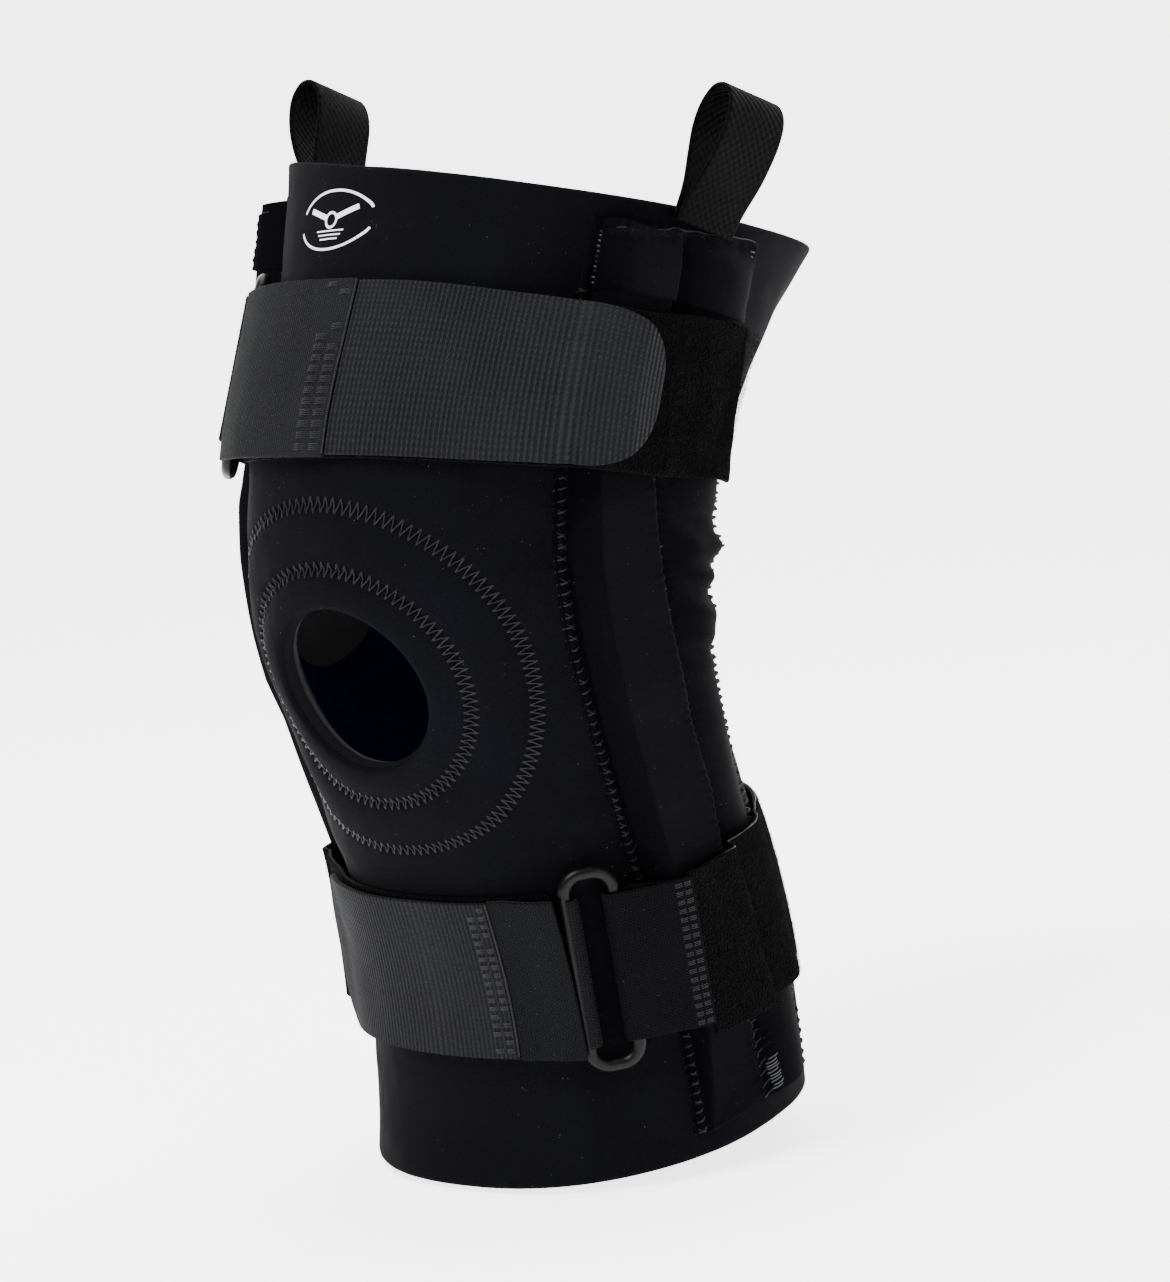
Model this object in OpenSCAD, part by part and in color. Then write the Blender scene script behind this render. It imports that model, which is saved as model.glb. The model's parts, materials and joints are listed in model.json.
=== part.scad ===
// Hinged knee brace: a sleeve with two side hinges in pockets and two hook-and-loop straps.
// Millimetres. Origin midway between the two hinge centres. +Z up the thigh, -Y to the front,
// +X to the outer side of the leg. Shown 30 degrees bent.

/* [Sleeve] */
// Thickness of the sleeve material
sleeve_t = 3.2; // [2:0.1:5]
// Height of the leg centre line behind the hinge centres
leg_back = 20; // [10:1:30]
// Height of the leg centre line above the hinge centres
leg_up = 2; // [-5:1:10]
// Half length of the zone in which the leg centre line bends
bend_zone = 60; // [40:5:80]
// Half of the bend between thigh and shin at rest, in degrees
half_bend = 15; // [5:1:25]
// Lean of the bend's middle plane to the back, in degrees
leg_lean = 5; // [0:1:10]
// Across-to-depth roundness power of the leg sections
round_power = 0.89; // [0.8:0.01:1]
// Radius of the kneecap opening
hole_r = 27.5; // [20:0.5:35]
// Distance of the kneecap opening below the middle, along the leg
hole_s = -24.5; // [-40:0.5:0]
// Outer radius of the kneecap cushion ring
cushion_r = 42; // [32:1:50]
// Thickness of the kneecap cushion ring
cushion_t = 6; // [3:0.5:9]

/* [Hinges] */
// Distance from the middle plane to the inner face of the inner plate
plate_x = 66; // [62:0.1:70]
// Distance between the two pivots of a hinge
pivot_gap = 20; // [16:1:28]
// Thickness of each hinge plate
plate_t = 0.9; // [0.6:0.1:2]
// Thickness of the hinge arms
arm_t = 1.8; // [1.2:0.1:3]
// Width of the hinge arms
arm_w = 14; // [12:0.5:18]
// Forward offset of the upper arms' bars from their pivots
bar_shift = 3; // [0:0.5:4]
// Length of the upper arms from their pivot
upper_arm_l = 88; // [60:1:110]
// Length of the lower arms from their pivot
lower_arm_l = 104; // [60:1:130]
// Outward slope of the upper arms
upper_slope = 0.04; // [0:0.01:0.1]
// Inward slope of the lower arms
lower_slope = 0.05; // [0:0.01:0.1]
// Number of teeth of the full gear round
teeth = 16; // [12:1:24]
// Play of each tooth flank
tooth_play = 0.12; // [0.05:0.01:0.3]
// Radius of the rivet shanks
rivet_r = 2.5; // [2:0.1:3.5]
// Running play between rivet and arm, on the radius
pivot_play = 0.05; // [0.01:0.01:0.1]

/* [Pockets] */
// Thickness of the pocket cover
cover_t = 1.4; // [0.8:0.1:2.5]
// Height of the padded rear channel
rear_puff = 3.5; // [1:0.5:6]

/* [Straps] */
// Half width of the calf strap
calf_half = 26; // [20:0.5:30]
// Thickness of the strap webbing
strap_t = 1.6; // [1:0.1:3]
// Thickness of the hook tabs
tab_t = 1.4; // [1:0.1:3]
// Radius of the ring bars
ring_r = 2.1; // [1.5:0.1:3]
// Height of the rings between bar centres
ring_h = 60; // [50:1:66]
// Width of the rings between bar centres
ring_w = 15; // [10:1:24]
// Width of the pull loops
loop_w = 25; // [15:1:30]
// Height of the pull loops above the cap
loop_h = 36; // [20:1:50]

/* [Hidden] */
$fn = 48;

// Leg sections: place along the leg, half width, depth to the front, depth to the back.
sections = [[-180, 66, 67, 65], [-150, 63, 58, 74], [-115, 60, 53, 77], [-80, 58.5, 55, 71],
  [-45, 61, 62, 62], [-10, 64.5, 76, 57], [25, 65.5, 80, 61], [60, 66.5, 74, 71],
  [95, 70, 71, 85], [130, 76.5, 70, 103]];
// Seam angles round the leg: place along the leg, angle from the front.
front_seam = [[-180, 74], [-136, 76.5], [-83, 73.5], [-41, 69.5], [-16, 67], [5, 65.5], [25, 65.5], [73, 62.5], [110, 60]];
mid_seam = [[-180, 95], [-90, 96], [-67, 96], [-40, 93], [-8, 89], [21, 86], [110, 82.5]];
rear_seam = [[-180, 116], [-60, 120], [-12, 121], [23, 121], [58, 113], [85, 107], [110, 102]];
// Outer limit of the hinge with its clearance: height, distance from the middle plane.
hinge_limit = [[-170, 63.5], [-112, 66.8], [-40, 69.7], [-27, 71.7], [27, 71.7], [40, 69.7], [90, 72.7], [130, 74]];

function clip(v, a, b) = min(max(v, a), b);
function cr(a, b, c, d, t) = b + 0.5*t*((c - a) + t*(2*a - 5*b + 4*c - d + t*(3*(b - c) + d - a)));
function place(s, i = 0) = (i >= len(sections) - 2 || s < sections[i + 1][0]) ? i : place(s, i + 1);
function section(s) = let (i = place(s), n = len(sections) - 1,
    t = (s - sections[i][0])/(sections[i + 1][0] - sections[i][0]),
    p = sections[max(i - 1, 0)], q = sections[i], r = sections[i + 1], w = sections[min(i + 2, n)])
  [for (k = [1:3]) cr(p[k], q[k], r[k], w[k], t)];
function tilt(s) = leg_lean + half_bend*clip(s, -bend_zone, bend_zone)/bend_zone;
function spine(s) = let (u = clip(s, -bend_zone, bend_zone), e = s - u, k = bend_zone/(half_bend*PI/180), f = tilt(s))
  [leg_back + k*(cos(leg_lean) - cos(f)) + e*sin(f), leg_up + k*(sin(f) - sin(leg_lean)) + e*cos(f)];
function rp(v) = sign(v)*pow(abs(v), round_power);
function leg(th, s) = let (r = section(s), c = spine(s), f = tilt(s), q = (cos(th) > 0 ? r[1] : r[2])*rp(cos(th)))
  [r[0]*rp(sin(th)), c[0] - q*cos(f), c[1] + q*sin(f)];
function unit(v) = v/norm(v);
function out(th, s) = unit(cross(leg(th + 1, s) - leg(th - 1, s), leg(th, s + 1) - leg(th, s - 1)));
function at(th, s, d) = leg(th, s) + d*out(th, s);
function mix(a, b, t) = a + (b - a)*t;
function ease(t) = let (c = clip(t, 0, 1)) c*c*(3 - 2*c);

// Upper and lower rim, and the edges of the part that bends at the knee.
function top_rim(th) = 116.5 - 9*cos(th) - 8*sin(th);
function bottom_rim(th) = -177.5 + 4*cos(th);
function thigh_edge(th) = 29 + 79*(1 - cos(th))/2;
function calf_edge(th) = -78 - 14*(1 - cos(th))/2;

// Solid between an inner and an outer surface; a at place u, b round v.
module skin(nu, nv, place, inner, outer, closed = false) {
  m = closed ? nv : nv + 1;
  o = [for (i = [0:nu]) for (j = [0:m - 1]) let (p = place(i/nu, j/nv)) at(p[0], p[1], outer(i/nu, j/nv))];
  n = [for (i = [0:nu]) for (j = [0:m - 1]) let (p = place(i/nu, j/nv)) at(p[0], p[1], inner(i/nu, j/nv))];
  k = len(o);
  function id(i, j) = i*m + (closed ? j % m : j);
  quads = concat(
    [for (i = [0:nu - 1]) for (j = [0:nv - 1]) [id(i, j), id(i + 1, j), id(i + 1, j + 1), id(i, j + 1)]],
    [for (i = [0:nu - 1]) for (j = [0:nv - 1]) [k + id(i, j), k + id(i, j + 1), k + id(i + 1, j + 1), k + id(i + 1, j)]],
    [for (j = [0:nv - 1]) [id(0, j), id(0, j + 1), k + id(0, j + 1), k + id(0, j)]],
    [for (j = [0:nv - 1]) [id(nu, j + 1), id(nu, j), k + id(nu, j), k + id(nu, j + 1)]],
    closed ? [] : [for (i = [0:nu - 1]) [id(i + 1, 0), id(i, 0), k + id(i, 0), k + id(i + 1, 0)]],
    closed ? [] : [for (i = [0:nu - 1]) [id(i, nv), id(i + 1, nv), k + id(i + 1, nv), k + id(i, nv)]]);
  polyhedron(points = concat(o, n), faces = [for (f = quads) each [[f[0], f[1], f[2]], [f[0], f[2], f[3]]]]);
}

// Frame that stands on the leg: first axis round the leg, second up it, third outward.
module stand(th, s, d) {
  n = out(th, s);
  z0 = leg(th, s + 1) - leg(th, s - 1);
  t = unit(cross(z0, n));
  z = cross(n, t);
  p = at(th, s, d);
  multmatrix([[t[0], z[0], n[0], p[0]], [t[1], z[1], n[1], p[1]], [t[2], z[2], n[2], p[2]], [0, 0, 0, 1]]) children();
}

module both(side) { if (side > 0) children(); else mirror([1, 0, 0]) children(); }

// ---- sleeve ----
module thigh_sleeve() {
  color([0.05, 0.055, 0.07])
  skin(9, 60, function (u, v) let (th = 360*v) [th, mix(thigh_edge(th) + 0.4, top_rim(th), u)],
    function (u, v) -sleeve_t, function (u, v) 0, true);
}
module knee_sleeve() {
  color([0.05, 0.055, 0.07])
  difference() {
    skin(14, 60, function (u, v) let (th = 360*v) [th, mix(calf_edge(th), thigh_edge(th), u)],
      function (u, v) -sleeve_t, function (u, v) 0, true);
    c = leg(0, hole_s);
    n = out(0, hole_s);
    translate(c) rotate([atan2(-n[1], n[2]), 0, 0]) cylinder(r = hole_r, h = 30, center = true);
  }
}
module calf_sleeve() {
  color([0.05, 0.055, 0.07])
  skin(9, 60, function (u, v) let (th = 360*v) [th, mix(bottom_rim(th), calf_edge(th) - 0.4, u)],
    function (u, v) -sleeve_t, function (u, v) 0, true);
}
// Place near the front at a distance r and angle a from the middle of the kneecap opening.
function front_place(r, a) = let (x = r*cos(a)) [asin(sign(x)*pow(abs(x)/66, 1/round_power)), hole_s + r*sin(a)/1.42];
module patella_cushion() {
  color([0.12, 0.12, 0.13])
  skin(6, 48, function (u, v) front_place(mix(hole_r + 0.5, cushion_r, u), -360*v),
    function (u, v) -sleeve_t - 0.5 - 0.8 - (cushion_t - 0.8)*pow(sin(180*clip(u, 0.02, 0.98)), 0.5),
    function (u, v) -sleeve_t - 0.5, true);
}

// ---- hinge pockets ----
function wall(t) = let (c = clip(t/0.13, 0, 1)) sin(90*c);
function pocket_angle(s, v) = v < 0.55
  ? mix(lookup(s, front_seam), lookup(s, mid_seam), v/0.55)
  : mix(lookup(s, mid_seam), lookup(s, rear_seam), (v - 0.55)/0.45);
function pocket_rise(s, v) = let (th = pocket_angle(s, v), p = leg(th, s), n = out(th, s), f = v/0.55, b = (v - 0.55)/0.45)
  v < 0.55 ? wall(min(f, 1 - f))*max(0, (lookup(p[2], hinge_limit) - p[0])/n[0]) : rear_puff*sin(180*b);
// Unequal steps across the pocket, close together at the steep walls.
steps = [0, 0.02, 0.045, 0.0715, 0.15, 0.275, 0.4, 0.4785, 0.505, 0.53, 0.55, 0.6, 0.66, 0.73, 0.8, 0.87, 0.94, 1];
function step(v) = let (k = len(steps) - 1, i = min(floor(v*k + 0.001), k - 1)) mix(steps[i], steps[i + 1], v*k - i);
module pocket(s0, s1, nu) {
  skin(nu, len(steps) - 1, function (u, v) let (s = mix(s0, s1, u)) [pocket_angle(s, step(v)), s],
    function (u, v) 0.5 + pocket_rise(mix(s0, s1, u), step(v)),
    function (u, v) 0.5 + cover_t + pocket_rise(mix(s0, s1, u), step(v)));
}
module pocket_upper(side) { color([0.06, 0.065, 0.08]) both(side) pocket(53, side > 0 ? 98 : 108, 7); }
module pocket_knee(side) { color([0.06, 0.065, 0.08]) both(side) pocket(-52, 52.5, 15); }
module pocket_lower(side) { color([0.06, 0.065, 0.08]) both(side) pocket(-170, -52.5, 13); }
function cap_place(u, v, up) = let (s0 = 76 + up + 6*v, s1 = 94.5 + up + 12*v, s = mix(s0, s1, u)) [pocket_angle(s, step(v)), s];
module pocket_cap(side) {
  up = side > 0 ? 0 : 10;
  color([0.07, 0.075, 0.09]) both(side)
  skin(3, len(steps) - 1, function (u, v) cap_place(u, v, up),
    function (u, v) 1.0 + cover_t + pocket_rise(cap_place(u, v, up)[1], step(v)),
    function (u, v) 1.9 + cover_t + pocket_rise(cap_place(u, v, up)[1], step(v)));
}

// ---- hinges ----
pivot_z = pivot_gap/2;
arm_in = plate_t + 0.4;                 // inner face of the arms
outer_in = arm_in + arm_t + 0.4;        // inner face of the outer plate
stack = outer_in + plate_t;             // outer face of the outer plate
pitch_r = pivot_gap/2;
base_r = pitch_r*cos(20);
tip_r = pitch_r + 1;
root_r = pitch_r - 1.5;
function inv(r) = let (a = acos(clip(base_r/r, -1, 1))) tan(a) - a*PI/180;
function half_tooth(r) = 90/teeth - tooth_play/pitch_r*180/PI + (inv(pitch_r) - inv(max(r, base_r)))*180/PI;
tooth_r = [root_r - 0.8, base_r, 9.8, 10.2, 10.6, tip_r];
// In the hinge modules the plane drawn is the side view: first axis to the back, second up.
module flat(x, t) { translate([x, 0, 0]) rotate([90, 0, 90]) linear_extrude(t) children(); }
module along_x(x, t, r) { translate([x, 0, 0]) rotate([0, 90, 0]) cylinder(r = r, h = t); }
module tooth() {
  polygon(concat([for (r = tooth_r) r*[sin(half_tooth(r)), -cos(half_tooth(r))]],
    [for (i = [len(tooth_r) - 1:-1:0]) tooth_r[i]*[-sin(half_tooth(tooth_r[i])), -cos(half_tooth(tooth_r[i]))]]));
}
module slope(k, z0) { multmatrix([[1, 0, k, -k*z0], [0, 1, 0, 0], [0, 0, 1, 0], [0, 0, 0, 1]]) children(); }
// Arm with its pivot at the origin and its bar up, before it is set at its angle.
module bar(l, k, shift) {
  translate([0, -shift, 0]) bar_shape(l, k);
}
module bar_shape(l, k) {
  flat(arm_in, arm_t) translate([-arm_w/2, 0]) square([arm_w, 24]);
  slope(k, 24) difference() {
    union() {
      translate([arm_in, -arm_w/2, 24]) cube([arm_t, arm_w, l - arm_w/2 - 24]);
      translate([0, 0, l - arm_w/2]) along_x(arm_in, arm_t, arm_w/2);
    }
    for (z = [l - 34, l - 50]) translate([0, 0, z]) along_x(arm_in - 1, arm_t + 2, 1.6);
  }
}
module arm(l, k, phase, shift) {
  difference() {
    union() {
      along_x(arm_in, arm_t, root_r);
      flat(arm_in, arm_t) for (a = phase) rotate(a) tooth();
      rotate([-half_bend, 0, 0]) bar(l, k, shift);
    }
    along_x(arm_in - 1, arm_t + 2, rivet_r + pivot_play);
  }
}
module tip(l, k, shift) {
  rotate([-half_bend, 0, 0]) translate([0, -shift, 0]) slope(k, 24) difference() {
    union() {
      translate([arm_in - 0.9, -arm_w/2 - 1, l - 22]) cube([arm_t + 1.8, arm_w + 2, 22 - arm_w/2]);
      translate([0, 0, l - arm_w/2]) along_x(arm_in - 0.9, arm_t + 1.8, arm_w/2 + 1);
    }
    translate([arm_in - 0.05, -arm_w/2 - 0.05, l - 23]) cube([arm_t + 0.1, arm_w + 0.1, 23 - arm_w/2]);
    translate([0, 0, l - arm_w/2]) along_x(arm_in - 0.05, arm_t + 0.1, arm_w/2 + 0.05);
  }
}
module set_side(side) { both(side) translate([plate_x, 0, 0]) children(); }
pitch = 360/teeth;
module upper_arm(side) {
  color([0.55, 0.56, 0.58]) set_side(side) translate([0, 0, pivot_z])
    arm(upper_arm_l, upper_slope, [for (k = [-3:3]) k*pitch], bar_shift);
}
module lower_arm(side) {
  color([0.55, 0.56, 0.58]) set_side(side) mirror([0, 0, 1]) translate([0, 0, pivot_z])
    arm(lower_arm_l, -lower_slope, [for (k = [-3:2]) (k + 0.5)*pitch], 0);
}
module upper_tip(side) { color([0.1, 0.1, 0.11]) set_side(side) translate([0, 0, pivot_z]) tip(upper_arm_l, upper_slope, bar_shift); }
module lower_tip(side) { color([0.1, 0.1, 0.11]) set_side(side) mirror([0, 0, 1]) translate([0, 0, pivot_z]) tip(lower_arm_l, -lower_slope, 0); }
stop_front = -12.6;
stop_back = -arm_w/2 - bar_shift - 0.15;
module plate(x) {
  difference() {
    union() {
      for (z = [-pivot_z, pivot_z]) translate([0, 0, z]) along_x(x, plate_t, 12.4);
      flat(x, plate_t) {
        translate([-12.4, -pivot_z]) square([24.8, pivot_gap]);
        translate([stop_front, 0]) square([stop_back - stop_front, 23]);
      }
    }
    for (z = [-pivot_z, pivot_z]) translate([0, 0, z]) along_x(x - 1, plate_t + 2, rivet_r + 0.02);
  }
}
module inner_plate(side) { color([0.62, 0.63, 0.65]) set_side(side) plate(0); }
module outer_plate(side) { color([0.62, 0.63, 0.65]) set_side(side) plate(outer_in); }
module rivets(side) {
  color([0.7, 0.7, 0.72]) set_side(side) for (z = [-pivot_z, pivot_z]) translate([0, 0, z]) {
    along_x(-0.65, stack + 1.35, rivet_r);
    along_x(-0.65, 0.6, 3.6);
    along_x(stack + 0.05, 0.65, 3.8);
  }
}
module washers(side) {
  color([0.85, 0.85, 0.82]) set_side(side) for (z = [-pivot_z, pivot_z]) for (x = [plate_t + 0.05, arm_in + arm_t + 0.05])
    translate([0, 0, z]) difference() {
      along_x(x, 0.3, 5.2);
      along_x(x - 1, 2.3, rivet_r + 0.1);
    }
}
module extension_stop(side) {
  color([0.15, 0.15, 0.16]) set_side(side) difference() {
    flat(plate_t + 0.05, outer_in - plate_t - 0.1) translate([stop_front, 0]) square([stop_back - stop_front, 23]);
    for (z = [-pivot_z, pivot_z]) translate([0, 0, z]) along_x(-1, stack + 2, tip_r + 0.3);
  }
}
module condyle_pad(side) {
  color([0.14, 0.14, 0.15]) both(side)
  skin(5, 36, function (u, v) let (r = mix(1, 23, u), a = -360*v) [79 + r*cos(a)/1.12, -5 + r*sin(a)],
    function (u, v) -sleeve_t - 1.3 - 4*pow(max(0, cos(90*u)), 0.4),
    function (u, v) -sleeve_t - 0.5, true);
}

// ---- upper strap ----
function strap_top(th) = 71 + 9*ease((th - 60)/45);
function strap_low(th) = 28 + 2*ease((th - 80)/30);
ring_th = -40;       // angle of the upper ring's front bar
// Height of the strap base above the sleeve; it bridges from the thigh to the pocket.
base_bridge = [[-60, 0.6], [40, 0.6], [48, 2], [56, 6.2], [62, 9.6], [66, 10.4], [72, 10.4], [80, 8], [118, 0.6]];
// Outer height of the pocket cover, and the height that clears it over a strap's width.
function cover_top(th, s) = let (t = abs((th + 540) % 360 - 180), f = lookup(s, front_seam), m = lookup(s, mid_seam), r = lookup(s, rear_seam),
    v = t < m ? 0.55*(t - f)/(m - f) : 0.55 + 0.45*(t - m)/(r - m))
  (v <= 0 || v >= 1) ? 0 : 0.5 + cover_t + pocket_rise(s, v);
function over(th, lo, hi) = max([for (a = [-2.4:1.2:2.4]) for (k = [0:4]) cover_top(th + a, mix(lo, hi, k/4))]) + 0.6;
function base_lift(th) = max(lookup(th, base_bridge), over(th, strap_low(th), strap_top(th)));
function base_th(u, v) = mix(ring_th + 4, mix(115, 104, u), v);
module upper_strap_base() {
  color([0.04, 0.04, 0.045])
  skin(4, 44, function (u, v) let (th = base_th(u, v)) [th, mix(strap_low(th), strap_top(th), u)],
    function (u, v) base_lift(base_th(u, v)), function (u, v) base_lift(base_th(u, v)) + strap_t);
}
band_lift = 3.4;
// Drop of an elastic band from the top of the ring to the strap below.
band_drop = [[0, 7.5], [0.3, 6.2], [0.55, 4.4], [0.75, 3.4], [1, 3.4]];
module upper_strap_band() {
  color([0.16, 0.165, 0.18])
  skin(4, 10, function (u, v) let (th = mix(ring_th + 2.2, 3.5, v)) [th, mix(strap_low(th), strap_top(th), u)],
    function (u, v) lookup(v, band_drop), function (u, v) lookup(v, band_drop) + strap_t);
}
// Place across a tab, closer together at its rounded corners, and the end of the tab there.
function across_tab(u) = (1 - cos(180*u))/2;
function tab_end(u) = 62 + 17*sqrt(1 - pow(abs(cos(180*u)), 3));
function tab_lift(th) = max(band_lift, max([for (a = [-3.6:1.8:3.6]) base_lift(th + a)]) + strap_t + 1.2);
module upper_hook_tab() {
  color([0.19, 0.195, 0.21])
  skin(14, 24, function (u, v) let (th = mix(4, tab_end(u), v)) [th, mix(strap_low(th) + 0.5, strap_top(th) - 0.5, across_tab(u))],
    function (u, v) tab_lift(mix(4, tab_end(u), v)), function (u, v) tab_lift(mix(4, tab_end(u), v)) + tab_t);
}
// Closed oval of round bar, lying flat: width across, height up.
module ring() {
  c = 6;
  for (x = [-1, 1]) translate([x*ring_w/2, 0, 0]) rotate([90, 0, 0]) cylinder(r = ring_r, h = ring_h - 2*c, center = true);
  for (y = [-1, 1]) translate([0, y*ring_h/2, 0]) rotate([0, 90, 0]) cylinder(r = ring_r, h = ring_w - 2*c, center = true);
  for (q = [0:3]) rotate([0, 180*floor(q/2), 180*(q % 2)])
    translate([ring_w/2 - c, ring_h/2 - c, 0]) rotate_extrude(angle = 90) translate([c, 0]) circle(r = ring_r);
}
// Strip of webbing along a path, drawn as its side view.
function path_dir(p, i) = unit(p[min(i + 1, len(p) - 1)] - p[max(i - 1, 0)]);
module strip(p, t, w) {
  linear_extrude(w, center = true) polygon(concat(
    [for (i = [0:len(p) - 1]) let (d = path_dir(p, i)) p[i] + t/2*[-d[1], d[0]]],
    [for (i = [len(p) - 1:-1:0]) let (d = path_dir(p, i)) p[i] - t/2*[-d[1], d[0]]]));
}
// In a strip, the first direction runs across the ring and the second outward.
module across(w) { rotate([90, 0, 0]) children(); }
module fold(x, side, w) {
  translate([x, 0, 0]) rotate([90, 0, 0]) rotate([0, 0, side > 0 ? -90 : 90])
    rotate_extrude(angle = 180) translate([ring_r + 0.4, -w/2]) square([strap_t, w]);
}
ring_lift = 4.8;
ring_mid = ring_th - 6.2;
module on_upper_ring() { stand(ring_mid, 49.5, ring_lift) children(); }
module upper_ring() { color([0.03, 0.03, 0.03]) on_upper_ring() ring(); }
module upper_strap_fold() { color([0.16, 0.165, 0.18]) on_upper_ring() fold(ring_w/2, -1, 46); }
function bend_round(x, r, a0, a1, n) = [for (i = [0:n]) let (a = mix(a0, a1, i/n)) [x + r*cos(a), r*sin(a)]];
module upper_ring_anchor() {
  color([0.04, 0.04, 0.045]) on_upper_ring() rotate([90, 0, 0])
    strip(concat([[-18.5, -5], [-13, -4]], bend_round(-ring_w/2, ring_r + 1.2, -90, 90, 10), [[-12, 2.6], [-15.5, -0.8], [-18.5, -3.2]]), 1.2, 46);
}

// ---- lower strap ----
function wrap_mid(th) = -108 - 4.5*(1 - cos(th)) - 1.5*sin(th);
wrap_bridge = [[76, 9], [96, 6], [130, 0.7], [230, 0.7], [264, 6], [284, 10.4], [290, 9], [296, 6.2], [302, 3.6], [308, 1.6], [314, 0.7], [420, 0.7]];
function wrap_lift(th) = max(lookup(th, wrap_bridge), over(th, wrap_mid(th) - calf_half, wrap_mid(th) + calf_half));
module lower_strap_wrap() {
  color([0.04, 0.04, 0.045])
  skin(4, 92, function (u, v) let (th = mix(83, 360 + 41, v)) [th, wrap_mid(th) + mix(-calf_half, calf_half, u)],
    function (u, v) wrap_lift(mix(83, 401, v)), function (u, v) wrap_lift(mix(83, 401, v)) + strap_t);
}
module lower_strap_band() {
  color([0.16, 0.165, 0.18])
  skin(4, 8, function (u, v) let (th = mix(22.5, 42, v)) [th, wrap_mid(th) + mix(-calf_half, calf_half, u)],
    function (u, v) lookup(1 - v, band_drop), function (u, v) lookup(1 - v, band_drop) + strap_t);
}
function calf_tab_end(u) = -45 - 14*sqrt(1 - pow(abs(cos(180*u)), 3));
function calf_tab_lift(th) = max(band_lift, max([for (a = [-1.8, 0, 1.8]) wrap_lift(th + a + 360)]) + strap_t + 0.8);
module lower_hook_tab() {
  color([0.19, 0.195, 0.21])
  skin(14, 22, function (u, v) let (th = mix(calf_tab_end(u), 22, v)) [th, wrap_mid(th) + 0.98*mix(-calf_half, calf_half, across_tab(u))],
    function (u, v) calf_tab_lift(mix(calf_tab_end(u), 22, v)), function (u, v) calf_tab_lift(mix(calf_tab_end(u), 22, v)) + tab_t);
}
module on_lower_ring() { stand(51, -110, ring_lift) rotate([0, 0, -4]) children(); }
module lower_ring() { color([0.03, 0.03, 0.03]) on_lower_ring() ring(); }
module lower_strap_fold() { color([0.16, 0.165, 0.18]) on_lower_ring() fold(-ring_w/2, 1, 46); }
module lower_ring_anchor() {
  color([0.04, 0.04, 0.045]) on_lower_ring() rotate([90, 0, 0])
    strip(concat([[31, 0], [26, 1.5], [20, 0], [13, -2.7]], bend_round(ring_w/2, ring_r + 1.2, -90, -270, 10), [[13, 3.1], [20, 3], [26, 3.4], [31, 1.9]]), 1.2, 46);
}

// ---- pull loops ----
loop_path = [[0.8, 0], [1, 6], [0.9, 12], [-0.4, 20], [-1.8, 29], [-1.2, 36], [1.6, 41], [6, 41.5], [9.6, 37], [10.4, 29], [8.6, 19], [5, 9.5], [3.3, 4], [2.9, 0]];
module pull_loop(side) {
  color([0.05, 0.05, 0.055]) both(side) stand(87, side > 0 ? 103 : 113, 0.5)
    multmatrix([[0, 0, 1, 0], [1, 0, 0, 0], [0, 1, 0, 0], [0, 0, 0, 1]]) strip([for (q = loop_path) [q[1]*loop_h/36, q[0]]], 1.4, loop_w);
}

module lateral_pocket_upper() { pocket_upper(1); }
module medial_pocket_upper() { pocket_upper(-1); }
module lateral_pocket_knee() { pocket_knee(1); }
module medial_pocket_knee() { pocket_knee(-1); }
module lateral_pocket_lower() { pocket_lower(1); }
module medial_pocket_lower() { pocket_lower(-1); }
module lateral_pocket_cap() { pocket_cap(1); }
module medial_pocket_cap() { pocket_cap(-1); }
module lateral_upper_arm() { upper_arm(1); }
module medial_upper_arm() { upper_arm(-1); }
module lateral_lower_arm() { lower_arm(1); }
module medial_lower_arm() { lower_arm(-1); }
module lateral_inner_plate() { inner_plate(1); }
module medial_inner_plate() { inner_plate(-1); }
module lateral_outer_plate() { outer_plate(1); }
module medial_outer_plate() { outer_plate(-1); }
module lateral_rivets() { rivets(1); }
module medial_rivets() { rivets(-1); }
module lateral_washers() { washers(1); }
module medial_washers() { washers(-1); }
module lateral_extension_stop() { extension_stop(1); }
module medial_extension_stop() { extension_stop(-1); }
module lateral_upper_tip() { upper_tip(1); }
module medial_upper_tip() { upper_tip(-1); }
module lateral_lower_tip() { lower_tip(1); }
module medial_lower_tip() { lower_tip(-1); }
module lateral_condyle_pad() { condyle_pad(1); }
module medial_condyle_pad() { condyle_pad(-1); }
module lateral_pull_loop() { pull_loop(1); }
module medial_pull_loop() { pull_loop(-1); }

thigh_sleeve();
knee_sleeve();
calf_sleeve();
patella_cushion();
upper_strap_base();
upper_strap_fold();
upper_strap_band();
upper_hook_tab();
upper_ring();
upper_ring_anchor();
lower_strap_wrap();
lower_strap_fold();
lower_strap_band();
lower_hook_tab();
lower_ring();
lower_ring_anchor();
lateral_pocket_upper();
medial_pocket_upper();
lateral_pocket_knee();
medial_pocket_knee();
lateral_pocket_lower();
medial_pocket_lower();
lateral_pocket_cap();
medial_pocket_cap();
lateral_upper_arm();
medial_upper_arm();
lateral_lower_arm();
medial_lower_arm();
lateral_inner_plate();
medial_inner_plate();
lateral_outer_plate();
medial_outer_plate();
lateral_rivets();
medial_rivets();
lateral_washers();
medial_washers();
lateral_extension_stop();
medial_extension_stop();
lateral_upper_tip();
medial_upper_tip();
lateral_lower_tip();
medial_lower_tip();
lateral_condyle_pad();
medial_condyle_pad();
lateral_pull_loop();
medial_pull_loop();
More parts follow.
